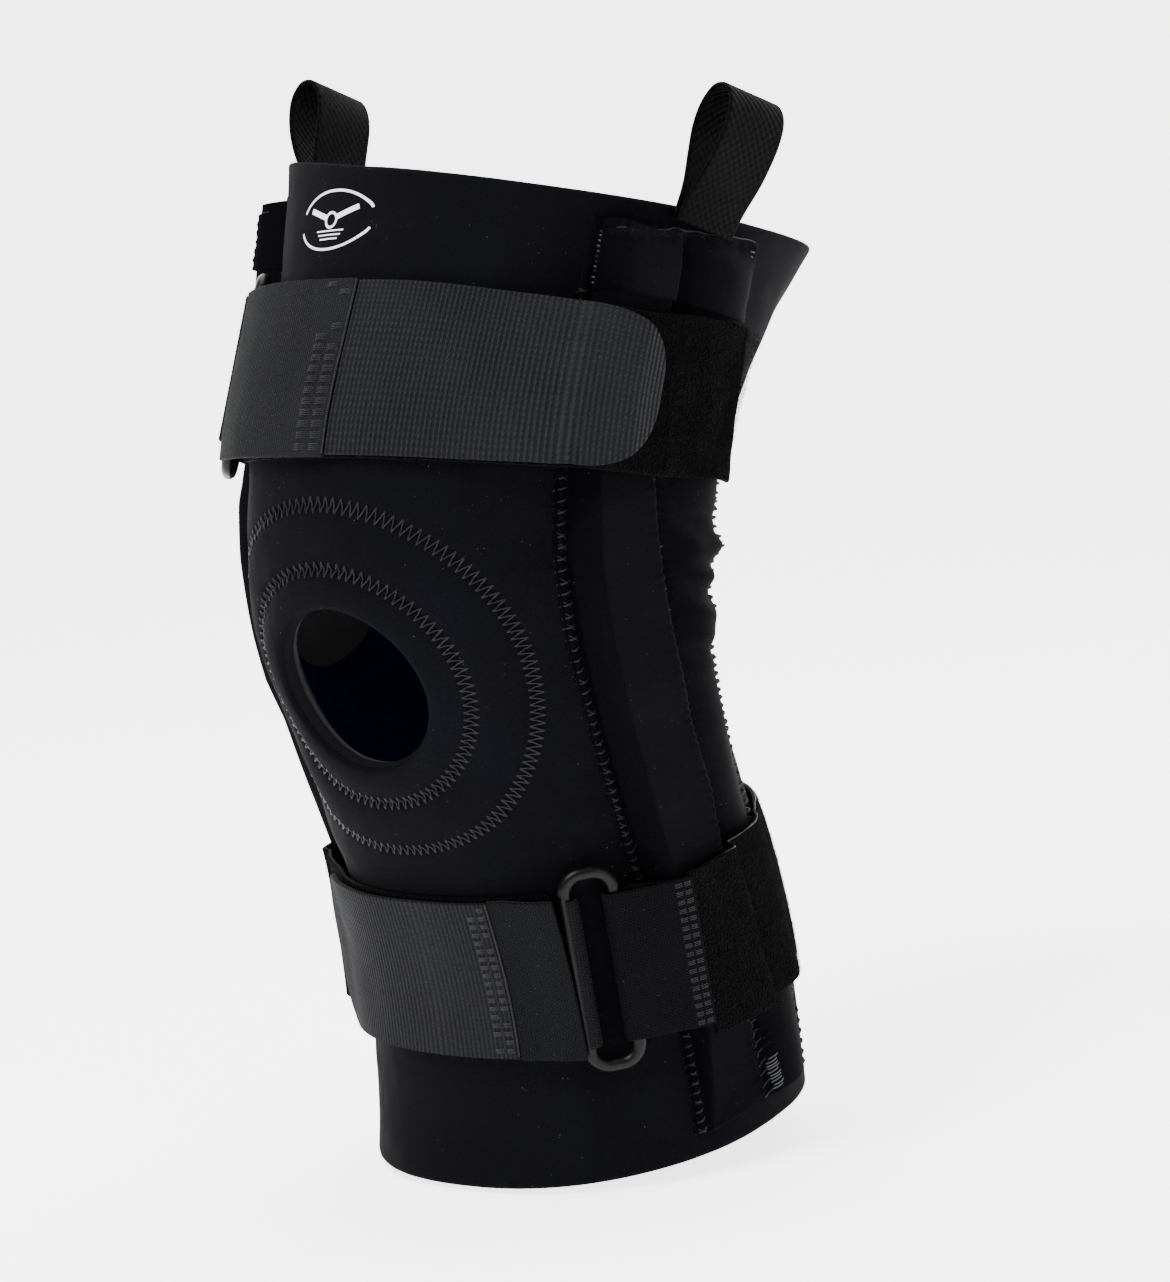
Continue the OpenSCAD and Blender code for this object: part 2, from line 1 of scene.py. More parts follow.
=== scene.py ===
import bpy, json, math
import numpy as np
from mathutils import Matrix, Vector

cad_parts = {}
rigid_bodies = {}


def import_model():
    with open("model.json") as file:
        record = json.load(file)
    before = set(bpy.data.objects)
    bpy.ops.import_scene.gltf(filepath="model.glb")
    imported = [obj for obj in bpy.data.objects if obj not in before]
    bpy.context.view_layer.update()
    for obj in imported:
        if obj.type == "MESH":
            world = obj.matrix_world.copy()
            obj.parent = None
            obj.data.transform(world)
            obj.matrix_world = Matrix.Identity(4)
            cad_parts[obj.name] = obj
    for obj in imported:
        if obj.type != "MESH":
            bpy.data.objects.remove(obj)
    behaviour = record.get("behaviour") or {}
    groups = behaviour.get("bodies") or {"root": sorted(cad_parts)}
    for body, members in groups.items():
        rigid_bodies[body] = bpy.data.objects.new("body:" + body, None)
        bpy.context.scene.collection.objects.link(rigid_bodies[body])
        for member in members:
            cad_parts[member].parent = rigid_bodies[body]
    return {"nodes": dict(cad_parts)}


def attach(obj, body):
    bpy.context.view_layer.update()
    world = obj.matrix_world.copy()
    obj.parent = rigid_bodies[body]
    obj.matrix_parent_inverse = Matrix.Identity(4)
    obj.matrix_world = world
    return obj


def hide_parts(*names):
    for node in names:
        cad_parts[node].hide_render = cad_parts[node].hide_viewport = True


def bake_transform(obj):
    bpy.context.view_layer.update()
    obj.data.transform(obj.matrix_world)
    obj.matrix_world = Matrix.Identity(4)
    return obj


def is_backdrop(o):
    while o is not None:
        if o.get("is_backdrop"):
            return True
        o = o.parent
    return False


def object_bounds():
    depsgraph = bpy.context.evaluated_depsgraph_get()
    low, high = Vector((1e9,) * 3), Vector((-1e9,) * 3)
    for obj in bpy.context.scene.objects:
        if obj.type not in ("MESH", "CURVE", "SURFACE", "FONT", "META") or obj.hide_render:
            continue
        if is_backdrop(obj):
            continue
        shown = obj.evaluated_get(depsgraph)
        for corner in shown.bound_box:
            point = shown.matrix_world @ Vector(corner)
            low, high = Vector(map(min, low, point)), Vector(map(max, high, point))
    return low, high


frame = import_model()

for o in list(bpy.data.objects):
    if o.name in ("Cube", "Light", "Camera"):
        bpy.data.objects.remove(o, do_unlink=True)
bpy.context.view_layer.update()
rng = np.random.default_rng(11)

# ---------------------------------------------------------------- the leg's surface, in mm
R = np.pi/180
SEC = np.array([[-180, 66, 67, 65], [-150, 63, 58, 74], [-115, 60, 53, 77], [-80, 58.5, 55, 71], [-45, 61, 62, 62],
    [-10, 64.5, 76, 57], [25, 65.5, 80, 61], [60, 66.5, 74, 71], [95, 70, 71, 85], [130, 76.5, 70, 103]], float)
LEAN, HB, W, YB, ZB, RP = 5., 15., 60., 20., 2., .89
FRONT = np.array([[-180, 74], [-136, 76.5], [-83, 73.5], [-41, 69.5], [-16, 67], [5, 65.5], [25, 65.5], [73, 62.5], [110, 60]], float)
MID = np.array([[-180, 95], [-90, 96], [-67, 96], [-40, 93], [-8, 89], [21, 86], [110, 82.5]], float)
REAR = np.array([[-180, 116], [-60, 120], [-12, 121], [23, 121], [58, 113], [85, 107], [110, 102]], float)
LIMIT = np.array([[-170, 63.5], [-112, 66.8], [-40, 69.7], [-27, 71.7], [27, 71.7], [40, 69.7], [90, 72.7], [130, 74]], float)
COVER, PUFF, ST, TT, CALF = 1.4, 3.5, 1.6, 1.4, 26.
SLEEVE, HOLE_S, HOLE_R = 3.2, -24.5, 27.5


def look(x, tab):
    return np.interp(x, tab[:, 0], tab[:, 1])


def sec(s):
    s = np.asarray(s, float); i = np.clip(np.searchsorted(SEC[:, 0], s, side='right') - 1, 0, len(SEC) - 2); n = len(SEC) - 1
    t = ((s - SEC[i, 0])/(SEC[i + 1, 0] - SEC[i, 0]))[..., None]
    a, b, c, d = SEC[np.maximum(i - 1, 0), 1:], SEC[i, 1:], SEC[i + 1, 1:], SEC[np.minimum(i + 2, n), 1:]
    return b + .5*t*((c - a) + t*(2*a - 5*b + 4*c - d + t*(3*(b - c) + d - a)))


def spine(s):
    u = np.clip(s, -W, W); e = s - u; k = W/(HB*R); f = (LEAN + HB*u/W)*R
    return YB + k*(np.cos(LEAN*R) - np.cos(f)) + e*np.sin(f), ZB + k*(np.sin(f) - np.sin(LEAN*R)) + e*np.cos(f), f


def rp(v):
    return np.sign(v)*np.abs(v)**RP


def leg(th, s):
    th, s = np.broadcast_arrays(np.asarray(th, float), np.asarray(s, float))
    r = sec(s); y, z, f = spine(s); c = np.cos(th*R); q = np.where(c > 0, r[..., 1], r[..., 2])*rp(c)
    return np.stack([r[..., 0]*rp(np.sin(th*R)), y - q*np.cos(f), z + q*np.sin(f)], -1)


def out(th, s):
    n = np.cross(leg(th + 1, s) - leg(th - 1, s), leg(th, s + 1) - leg(th, s - 1))
    return n/np.linalg.norm(n, axis=-1, keepdims=True)


def at(th, s, d=0.):
    th, s, d = np.broadcast_arrays(np.asarray(th, float), np.asarray(s, float), np.asarray(d, float))
    return leg(th, s) + d[..., None]*out(th, s)


def stand(th, s, d):
    n = out(th, s); z0 = leg(th, s + 1) - leg(th, s - 1)
    t = np.cross(z0, n); t /= np.linalg.norm(t); z = np.cross(n, t)
    return t, z, n, at(th, s, d)


def mix(a, b, t):
    return a + (b - a)*t


def ease(t):
    t = np.clip(t, 0, 1); return t*t*(3 - 2*t)


def gauss(x):
    return np.exp(-x*x)


def wob(x, y, k=0):
    """Smooth noise from fixed waves, about -1 to 1."""
    g = np.random.default_rng(100 + k); v = 0
    for _ in range(7):
        a, b, c, p = g.normal(), g.normal(), g.uniform(.6, 1), g.uniform(0, 6.3)
        v = v + c*np.sin(a*x + b*y + p)
    return v/3.2


def top_rim(th): return 116.5 - 9*np.cos(th*R) - 8*np.sin(th*R)
def bottom_rim(th): return -177.5 + 4*np.cos(th*R)


def pangle(s, v):
    f, m, r = look(s, FRONT), look(s, MID), look(s, REAR)
    return np.where(v < .55, f + (m - f)*v/.55, m + (r - m)*(v - .55)/.45)


def prise(s, v, wall=.13):
    th = pangle(s, v); p = leg(th, s); n = out(th, s); f = v/.55; b = (v - .55)/.45
    w = np.sin(np.pi/2*np.clip(np.minimum(f, 1 - f)/wall, 0, 1))
    return np.where(v < .55, np.maximum(0, w)*np.maximum(0, (look(p[..., 2], LIMIT) - p[..., 0])/n[..., 0]), PUFF*np.sin(np.pi*np.clip(b, 0, 1)))


def strap_top(th): return 71 + 9*ease((th - 60)/45)
def strap_low(th): return 28 + 2*ease((th - 80)/30)


def cover_top(th, s):
    t = np.abs((th + 540) % 360 - 180); f, m, r = look(s, FRONT), look(s, MID), look(s, REAR)
    v = np.where(t < m, .55*(t - f)/(m - f), .55 + .45*(t - m)/(r - m))
    return np.where((v <= 0) | (v >= 1), 0, .5 + COVER + prise(s, np.clip(v, 0, 1)))


def over(th, lo, hi):
    th = np.asarray(th, float); a = np.arange(-2.4, 2.5, 1.2)
    return max_of([cover_top(th + k, mix(lo, hi, q/4)) for k in a for q in range(5)]) + .6


def max_of(vs):
    m = vs[0]
    for v in vs[1:]: m = np.maximum(m, v)
    return m


BASE_B = np.array([[-60, .6], [40, .6], [48, 2], [56, 6.2], [62, 9.6], [66, 10.4], [72, 10.4], [80, 8], [118, .6]], float)
WRAP_B = np.array([[76, 9], [96, 6], [130, .7], [230, .7], [264, 6], [284, 10.4], [290, 9], [296, 6.2], [302, 3.6], [308, 1.6], [314, .7], [420, .7]], float)
DROP = np.array([[0, 7.5], [.3, 6.2], [.55, 4.4], [.75, 3.4], [1, 3.4]], float)
RING_TH = -40.
_bt = np.arange(-60, 120.1, .5)
_bl = np.maximum(look(_bt, BASE_B), over(_bt, strap_low(_bt), strap_top(_bt)))
_wt = np.arange(76, 420.1, .5)
def wrap_mid(th): return -108 - 4.5*(1 - np.cos(th*R)) - 1.5*np.sin(th*R)
_wl = np.maximum(look(_wt, WRAP_B), over(_wt, wrap_mid(_wt) - CALF, wrap_mid(_wt) + CALF))
_k = np.hanning(9); _k /= _k.sum()


def soften(v):
    p = np.pad(v, 4, mode='edge'); return np.convolve(p, _k, 'valid')


_bl, _wl = soften(_bl), soften(_wl)
def base_lift(th): return np.interp(th, _bt, _bl)
def wrap_lift(th): return np.interp(th, _wt, _wl)
def tab_lift(th): return np.maximum(3.4, max_of([base_lift(th + a) for a in (-3.6, -1.8, 0, 1.8, 3.6)]) + ST + 1.)
def calf_tab_lift(th): return np.maximum(3.4, max_of([wrap_lift(th + 360 + a) for a in (-1.8, 0, 1.8)]) + ST + .8)


# ---------------------------------------------------------------- materials
def nd(nt, kind, ins=None, **props):
    n = nt.nodes.new(kind)
    for k, v in props.items(): setattr(n, k, v)
    for k, v in (ins or {}).items():
        if isinstance(v, bpy.types.NodeSocket): nt.links.new(v, n.inputs[k])
        else: n.inputs[k].default_value = v
    return n


def ma(nt, op, a, b=0.):
    return nd(nt, 'ShaderNodeMath', {0: a, 1: b}, operation=op).outputs[0]


def base(name, col, rough, spec=.4, metal=0., sheen=0., coat=0.):
    m = bpy.data.materials.new(name); m.use_nodes = True; nt = m.node_tree
    b = nt.nodes['Principled BSDF']
    b.inputs['Roughness'].default_value = rough
    b.inputs['Specular IOR Level'].default_value = spec*.03 if metal == 0 and spec < .5 else spec
    b.inputs['Metallic'].default_value = metal
    b.inputs['Sheen Weight'].default_value = sheen*.015
    b.inputs['Sheen Roughness'].default_value = .5
    b.inputs['Coat Weight'].default_value = coat
    b.inputs['Base Color'].default_value = (*col, 1)
    return m, nt, b


def finish_mat(nt, b, col, height, dist, var=.35, relief_shade=None, rough=None, dust=.0, space='UV', wear_scale=.35):
    """Colour follows the relief: painted shade in its hollows and painted light on its crests, with broad uneven wear
    and a little pale lint.
    """
    tc = nd(nt, 'ShaderNodeTexCoord').outputs[space]
    broad = nd(nt, 'ShaderNodeTexNoise', {'Vector': tc, 'Scale': wear_scale if space == 'UV' else wear_scale*100, 'Detail': 4.}).outputs[0]
    lo = tuple(c*(1 - var) for c in col); hi = tuple(c*(1 + var) for c in col)
    # mix factor: broad uneven wear, plus the relief's height as painted shade in the hollows and painted light on the
    # crests
    k = ma(nt, 'ADD', ma(nt, 'MULTIPLY', broad, .6), ma(nt, 'MULTIPLY', height, .4 if relief_shade is None else relief_shade))
    ramp = nd(nt, 'ShaderNodeMix', {0: k, 6: (*lo, 1), 7: (*hi, 1)}, data_type='RGBA', clamp_factor=True).outputs[2]
    if dust:
        v = nd(nt, 'ShaderNodeTexVoronoi', {'Vector': tc, 'Scale': 5.5 if space == 'UV' else 550., 'Randomness': 1.})
        spot = ma(nt, 'LESS_THAN', v.outputs[0], .055)
        gate = ma(nt, 'GREATER_THAN', nd(nt, 'ShaderNodeTexNoise', {'Vector': tc, 'Scale': 1.3 if space == 'UV' else 130., 'Detail': 1.}).outputs[0], .58)
        k2 = ma(nt, 'MULTIPLY', ma(nt, 'MULTIPLY', spot, gate), dust)
        ramp = nd(nt, 'ShaderNodeMix', {0: k2, 6: ramp, 7: (.22, .22, .24, 1)}, data_type='RGBA').outputs[2]
    nt.links.new(ramp, b.inputs['Base Color'])
    if rough:
        nt.links.new(nd(nt, 'ShaderNodeMapRange', {0: broad, 1: .3, 2: .7, 3: rough[0], 4: rough[1]}).outputs[0], b.inputs['Roughness'])
    bump = nd(nt, 'ShaderNodeBump', {'Height': height, 'Strength': 1., 'Distance': dist})
    nt.links.new(bump.outputs[0], b.inputs['Normal'])


def uvxy(nt):
    s = nd(nt, 'ShaderNodeSeparateXYZ', {0: nd(nt, 'ShaderNodeTexCoord').outputs['UV']})
    return s.outputs[0], s.outputs[1]


def wave(nt, x, f, phase=0.):
    """0 to 1 ripple with f ripples per unit of x."""
    return ma(nt, 'ADD', ma(nt, 'MULTIPLY', nd(nt, 'ShaderNodeMath', {0: ma(nt, 'ADD', ma(nt, 'MULTIPLY', x, 6.28318*f), phase)}, operation='SINE').outputs[0], .5), .5)


def noise(nt, scale, detail=3., space='UV'):
    tc = nd(nt, 'ShaderNodeTexCoord').outputs[space]
    return nd(nt, 'ShaderNodeTexNoise', {'Vector': tc, 'Scale': scale, 'Detail': detail}).outputs[0]


def jersey(name, col, rough=(.62, .8), dust=.5):
    """Stretch nylon faced neoprene: fine knit wales under a soft nap."""
    m, nt, b = base(name, col, .7, .3, sheen=.12)
    x, y = uvxy(nt)
    wales = ma(nt, 'MULTIPLY', wave(nt, x, 22), wave(nt, y, 26))
    h = ma(nt, 'ADD', ma(nt, 'MULTIPLY', wales, .45), ma(nt, 'MULTIPLY', noise(nt, 16., 5.), .8))
    finish_mat(nt, b, col, h, .0003, .85, .75, rough, dust)
    return m


def elastic(name, col):
    """Woven elastic: close ribs across the strap, dotted by the weft."""
    m, nt, b = base(name, col, .6, .4, sheen=.1)
    x, y = uvxy(nt)
    ribs = wave(nt, x, 11.5); half = ma(nt, 'MULTIPLY', nd(nt, 'ShaderNodeMath', {0: ma(nt, 'MULTIPLY', x, 11.5)}, operation='FLOOR').outputs[0], 3.14159)
    dots = ma(nt, 'ADD', ma(nt, 'MULTIPLY', nd(nt, 'ShaderNodeMath', {0: ma(nt, 'ADD', ma(nt, 'MULTIPLY', y, 6.28318*10.), half)}, operation='SINE').outputs[0], .5), .5)
    h = ma(nt, 'ADD', ma(nt, 'MULTIPLY', ribs, .6), ma(nt, 'MULTIPLY', dots, .45))
    h = ma(nt, 'ADD', h, ma(nt, 'MULTIPLY', noise(nt, 9., 3.), .4))
    finish_mat(nt, b, col, h, .0006, .85, .8, (.5, .68), .25)
    return m


def hookback(name, col):
    """Back of the hook tape: columns of knitted chevrons."""
    m, nt, b = base(name, col, .6, .35, sheen=.1)
    x, y = uvxy(nt)
    cols = wave(nt, x, 7.2)
    slant = ma(nt, 'ADD', y, ma(nt, 'MULTIPLY', cols, .055))
    chev = wave(nt, slant, 6.5)
    h = ma(nt, 'ADD', ma(nt, 'MULTIPLY', cols, .55), ma(nt, 'MULTIPLY', ma(nt, 'MULTIPLY', chev, cols), .75))
    h = ma(nt, 'ADD', h, ma(nt, 'MULTIPLY', noise(nt, 12., 3.), .3))
    finish_mat(nt, b, col, h, .0009, .9, .85, (.5, .7), .15)
    return m


def pile(name, col):
    """Loop pile: clumped matt loops."""
    m, nt, b = base(name, col, .95, .15, sheen=.35)
    tc = nd(nt, 'ShaderNodeTexCoord').outputs['UV']
    v = nd(nt, 'ShaderNodeTexVoronoi', {'Vector': tc, 'Scale': 13., 'Randomness': 1.}).outputs[0]
    h = ma(nt, 'ADD', ma(nt, 'MULTIPLY', v, .9), ma(nt, 'MULTIPLY', noise(nt, 7., 6.), .9))
    finish_mat(nt, b, col, h, .0016, .9, .95, (.85, 1.), .2)
    return m


def webbing(name, col):
    """Plain basket weave tape."""
    m, nt, b = base(name, col, .55, .45, sheen=.05)
    x, y = uvxy(nt)
    a = nd(nt, 'ShaderNodeMath', {0: ma(nt, 'MULTIPLY', x, 3.14159*7.)}, operation='SINE').outputs[0]
    c = nd(nt, 'ShaderNodeMath', {0: ma(nt, 'MULTIPLY', y, 3.14159*7.)}, operation='SINE').outputs[0]
    h = ma(nt, 'ADD', ma(nt, 'MULTIPLY', ma(nt, 'MULTIPLY', a, c), .5), .5)
    h2 = ma(nt, 'ADD', h, ma(nt, 'MULTIPLY', wave(nt, ma(nt, 'ADD', x, y), 30), .18))
    finish_mat(nt, b, col, h2, .0009, .85, .8, (.45, .62), .1)
    return m


def plain(name, col, rough, spec=.4, metal=0., bump=.0001, scale=900., var=.25, coat=0., rrange=None):
    m, nt, b = base(name, col, rough, spec, metal, coat=coat)
    h = noise(nt, scale, 4., 'Object')
    finish_mat(nt, b, col, h, bump, var, .3, rrange or (max(.05, rough - .1), min(1, rough + .1)), 0., 'Object', .6)
    return m


def brushed(name, col, rough):
    """Rolled metal with fine drawn lines and small scuffs."""
    m, nt, b = base(name, col, rough, .5, 1.)
    mp = nd(nt, 'ShaderNodeMapping', {'Vector': nd(nt, 'ShaderNodeTexCoord').outputs['Object'], 'Scale': (1., 1., .04)})
    h = nd(nt, 'ShaderNodeTexNoise', {'Vector': mp.outputs[0], 'Scale': 3500., 'Detail': 3.}).outputs[0]
    finish_mat(nt, b, col, h, .00003, .2, .3, (rough - .1, rough + .12), 0., 'Object', .8)
    return m


def threads_mat(name, col, rough=.5, spec=.12):
    """Twisted filament thread."""
    m, nt, b = base(name, col, rough, .45, sheen=.1)
    b.inputs["Specular IOR Level"].default_value = spec
    x, y = uvxy(nt)
    h = wave(nt, ma(nt, 'ADD', ma(nt, 'MULTIPLY', x, 1.), ma(nt, 'MULTIPLY', y, .15)), 14.)
    finish_mat(nt, b, col, h, .00008, .35, .5, (rough - .08, rough + .1), 0.)
    return m


KNIT = jersey("neoprene face", (.0017, .0017, .0025))
# darker copy of the neoprene jersey: painted shade on the hinge pockets, their caps and the front beads
POCK_SHADED = jersey("pocket face", (.0010, .0010, .0016), dust=.4)
FOAM = plain("neoprene cut edge", (.005, .005, .006), .95, .15, bump=.0005, scale=2600.)
NAVY = jersey("navy lining", (.0015, .0017, .014), dust=.2)
ELAS = elastic("woven elastic", (.0054, .0056, .0060))
# darker copy of the woven elastic: painted shade on the calf strap's elastic and its fold
ELAS_SHADED = elastic("calf elastic painted shade", (.0033, .0034, .0039))
# much darker copy of the woven elastic: painted shade on the calf ring anchor
ANCH_SHADED = elastic("anchor tape painted shade", (.0017, .0017, .0020))
HOOK = hookback("hook tape back", (.0072, .0073, .0086))
PILE = pile("loop pile", (.0011, .0011, .0013))
WEBB = webbing("webbing", (.0012, .0012, .0014))
EDGE = elastic("binding tape", (.007, .007, .009))
THRD = threads_mat("grey thread", (.0024, .0024, .0040), .4, .14)
TACK = threads_mat("tack thread", (.0092, .0092, .0115), .5, .14)
BLACKT = threads_mat("black thread", (.0035, .0035, .0045))
NAVYT = threads_mat("navy thread", (.004, .004, .026))
PALET = threads_mat("pale thread", (.045, .046, .056))
FUZZ = threads_mat("loose fibre", (.0075, .0075, .009), .8, .03)
PRINT = plain("white print", (.62, .62, .64), .6, .3, bump=.00006, scale=1800., var=.3)
PADF = plain("foam pad", (.02, .02, .022), .95, .2, bump=.0006, scale=2200.)
RINGP = plain("ring plastic", (.0014, .0014, .0015), .36, .5, bump=.00003, scale=1500.)
RINGP.node_tree.nodes["Principled BSDF"].inputs["Specular IOR Level"].default_value = .1
WHITEP = plain("white acetal", (.75, .75, .72), .4, .5, bump=.00004)
BLACKP = plain("black plastic", (.02, .02, .022), .45, .5, bump=.00005)
STEEL = brushed("sprung steel", (.5, .5, .52), .35)
ALLOY = brushed("aluminium arm", (.62, .63, .65), .38)
RIVET = brushed("rivet steel", (.45, .44, .43), .3)

# ---------------------------------------------------------------- zones: joint, body and blend span of each soft part; put() bakes pieces of these zones in place and attaches the rest to a named body
J = "lateral_link"
ZONE = dict(fu=(J, "thigh", (0, 0, .007), (0, 0, .050)), fl=(J, "shin", (0, 0, -.030), (0, 0, -.090)),
    bu=(J, "thigh", (0, 0, .004), (0, 0, .085)), bl=(J, "shin", (0, 0, -.003), (0, 0, -.080)),
    pu=(J, "thigh", (0, 0, .002), (0, 0, .034)), pl=(J, "shin", (0, 0, -.002), (0, 0, -.036)))


def put(o, zone):
    z = ZONE.get(zone, zone)
    if isinstance(z, str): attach(o, z)
    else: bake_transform(o)
    return o


def build(name, V, F, mats, zone, uv=None, fm=None, angle=42.):
    """Mesh from points in mm and a list of faces."""
    name = "soft_" + name.replace(" ", "_")
    me = bpy.data.meshes.new(name)
    me.from_pydata((np.asarray(V, float)*.001).tolist(), [], np.asarray(F).tolist() if not isinstance(F, list) else F)
    for m in mats: me.materials.append(m)
    if fm is not None: me.polygons.foreach_set("material_index", np.asarray(fm, np.int32))
    if uv is not None:
        lay = me.uv_layers.new(name="UVMap"); li = np.empty(len(me.loops), np.int32)
        me.loops.foreach_get("vertex_index", li)
        lay.uv.foreach_set("vector", np.asarray(uv, np.float32)[li].ravel())
    me.validate(); me.shade_smooth()
    if angle: me.set_sharp_from_angle(angle=angle*R)
    o = bpy.data.objects.new(name, me); bpy.context.scene.collection.objects.link(o)
    put(o, zone); o["flat_area"] = 0.
    return o


def shell(name, A, B, mats, zone, slot=None, uv=None, keep=None, open_rows=(), angle=42., closed=False, held=None, rests=(), flip=False):
    """Sheet between the outer grid A and the inner grid B. open_rows are cut lines that get no rim."""
    nu, nv = A.shape[:2]; n = nu*nv; idx = np.arange(n).reshape(nu, nv)
    if closed: ix = np.concatenate([idx, idx[:, :1]], 1)
    else: ix = idx
    Q = np.stack([ix[:-1, :-1], ix[:-1, 1:], ix[1:, 1:], ix[1:, :-1]], -1)
    if keep is not None: Q = Q[keep]
    Q = Q.reshape(-1, 4)
    if flip: Q = Q[:, ::-1]
    e = np.concatenate([Q[:, [k, (k + 1) % 4]] for k in range(4)])
    key = e[:, 0].astype(np.int64)*n + e[:, 1]; rev = e[:, 1].astype(np.int64)*n + e[:, 0]
    e = e[~np.isin(key, rev)]
    for r in open_rows:
        m = np.zeros(n, bool); m[idx[r]] = True
        e = e[~(m[e[:, 0]] & m[e[:, 1]])]
    V = np.concatenate([A.reshape(-1, 3), B.reshape(-1, 3)])
    F = np.concatenate([Q, Q[:, ::-1] + n, np.stack([e[:, 1], e[:, 0], e[:, 0] + n, e[:, 1] + n], -1)])
    fm = np.concatenate([np.zeros(len(Q)), np.full(len(Q), 2), np.ones(len(e))])
    used = np.zeros(len(V), bool); used[F.ravel()] = True; new = np.cumsum(used) - 1
    if uv is None:
        mr, mc = A[nu//2], A[:, nv//2]
        u = np.concatenate([[0], np.cumsum(np.linalg.norm(np.diff(mr, axis=0), axis=1))])
        w = np.concatenate([[0], np.cumsum(np.linalg.norm(np.diff(mc, axis=0), axis=1))])
        uv = np.stack(np.broadcast_arrays(u[None, :], w[:, None]), -1)*.1
    uv2 = np.concatenate([uv.reshape(-1, 2)]*2)
    a, b, c, d = (V[Q[:, k]] for k in range(4))
    area = (np.linalg.norm(np.cross(b - a, c - a), axis=1) + np.linalg.norm(np.cross(c - a, d - a), axis=1)).sum()*.5e-6
    o = build(name, V[used], new[F], mats, zone, uv2[used], fm, angle)
    if held:
        ext = uv.reshape(-1, 2).max(0) - uv.reshape(-1, 2).min(0)
        w_, l_ = float(ext[0])*.01, float(ext[1])*.01
        if w_*l_ < area*1.002: l_ *= area*1.002/(w_*l_)
    return o


def ticks(a, b, n, edge=(.25, .7, 1.4), size=None, both=True):
    """n even steps from a to b with extra ones close to the ends; edge is in mm and size the length in mm."""
    t = list(np.linspace(0, 1, n + 1))
    for e in edge:
        k = e/(size or abs(b - a)); t.append(k)
        if both: t.append(1 - k)
    t = np.array(sorted(t)); t = t[np.concatenate([[True], np.diff(t) > 1e-5])]
    return a + (b - a)*t


def lip(e, r):
    """Drop of a rounded edge of radius r at a distance e from it."""
    k = np.clip(1 - e/r, 0, 1); return r*(1 - np.sqrt(1 - k*k))


def tubes(name, P, N, r, mat, zone, sides=6, flat=1.):
    """Round threads along the paths P (k, m, 3), with the outward directions N."""
    P = np.asarray(P, float); N = np.broadcast_to(N, P.shape)
    k, m = P.shape[:2]; T = np.gradient(P, axis=1); T /= np.linalg.norm(T, axis=2, keepdims=True) + 1e-9
    B = np.cross(T, N); B /= np.linalg.norm(B, axis=2, keepdims=True) + 1e-9; Nn = np.cross(B, T)
    a = np.arange(sides)*2*np.pi/sides; r = np.broadcast_to(np.asarray(r, float), (k, m))
    V = P[:, :, None] + r[:, :, None, None]*(np.cos(a)[None, None, :, None]*Nn[:, :, None]*flat + np.sin(a)[None, None, :, None]*B[:, :, None])
    idx = np.arange(k*m*sides).reshape(k, m, sides); nx = np.roll(idx, -1, 2)
    F = np.stack([idx[:, :-1], nx[:, :-1], nx[:, 1:], idx[:, 1:]], -1).reshape(-1, 4)
    F = F.tolist() + idx[:, 0, ::-1].tolist() + idx[:, -1].tolist()
    L = np.concatenate([np.zeros((k, 1)), np.cumsum(np.linalg.norm(np.diff(P, axis=1), axis=2), 1)], 1)*.1
    uv = np.stack(np.broadcast_arrays(L[:, :, None], (a/20)[None, None]), -1).reshape(-1, 2)
    return build(name, V.reshape(-1, 3), F, [mat], zone, uv, None, 60.)


def stitches(name, A, B, lift, arch, r, mat, zone, surf, n=6, sink=.25):
    """One arched thread from each (angle, place) in A to the one in B; surf gives the cloth's height there."""
    t = np.linspace(0, 1, n)[None, :]
    th = mix(A[:, :1], B[:, :1], t); s = mix(A[:, 1:], B[:, 1:], t)
    d = surf(th, s) + lift + arch*np.sin(np.pi*t) - sink*(np.abs(2*t - 1)**6)
    return tubes(name, at(th, s, d), out(th, s), r, mat, zone)


def hairs(name, P, N, D, L, mat, zone, w=.09, curl=.5, seg=4):
    """Loose fibres: thin ribbons from P, growing along N and drifting along D."""
    k = len(P); t = np.linspace(0, 1, seg + 1)[None, :, None]
    L = np.asarray(L)[:, None, None]; side = np.cross(N, D); side /= np.linalg.norm(side, axis=1, keepdims=True) + 1e-9
    c = rng.normal(0, curl, (k, 1, 1))
    path = P[:, None] + N[:, None]*L*(t - .45*t*t) + D[:, None]*L*t*t*.8 + side[:, None]*L*c*t*t
    ww = w*(1 - .75*t)
    V = np.stack([path - side[:, None]*ww, path + side[:, None]*ww], 2)
    idx = np.arange(k*(seg + 1)*2).reshape(k, seg + 1, 2)
    F = np.stack([idx[:, :-1, 0], idx[:, :-1, 1], idx[:, 1:, 1], idx[:, 1:, 0]], -1).reshape(-1, 4)
    return build(name, V.reshape(-1, 3), F, [mat], zone, None, None, 0)


def unit_rand(n, N):
    """Random directions square to N."""
    v = rng.normal(size=(n, 3)); v -= (v*N).sum(1, keepdims=True)*N
    return v/np.linalg.norm(v, axis=1, keepdims=True)


# ---------------------------------------------------------------- sleeve
_th = np.linspace(0, 120, 481); _p = leg(_th, HOLE_S)
_arc = np.concatenate([[0], np.cumsum(np.linalg.norm(np.diff(_p, axis=0), axis=1))])
def k_x(th): return np.sign(th)*np.interp(np.abs(th), _th, _arc)
def k_th(x): return np.sign(x)*np.interp(np.abs(x), _arc, _th)
MET = 1.42
def wrap180(th): return (np.asarray(th) + 180) % 360 - 180


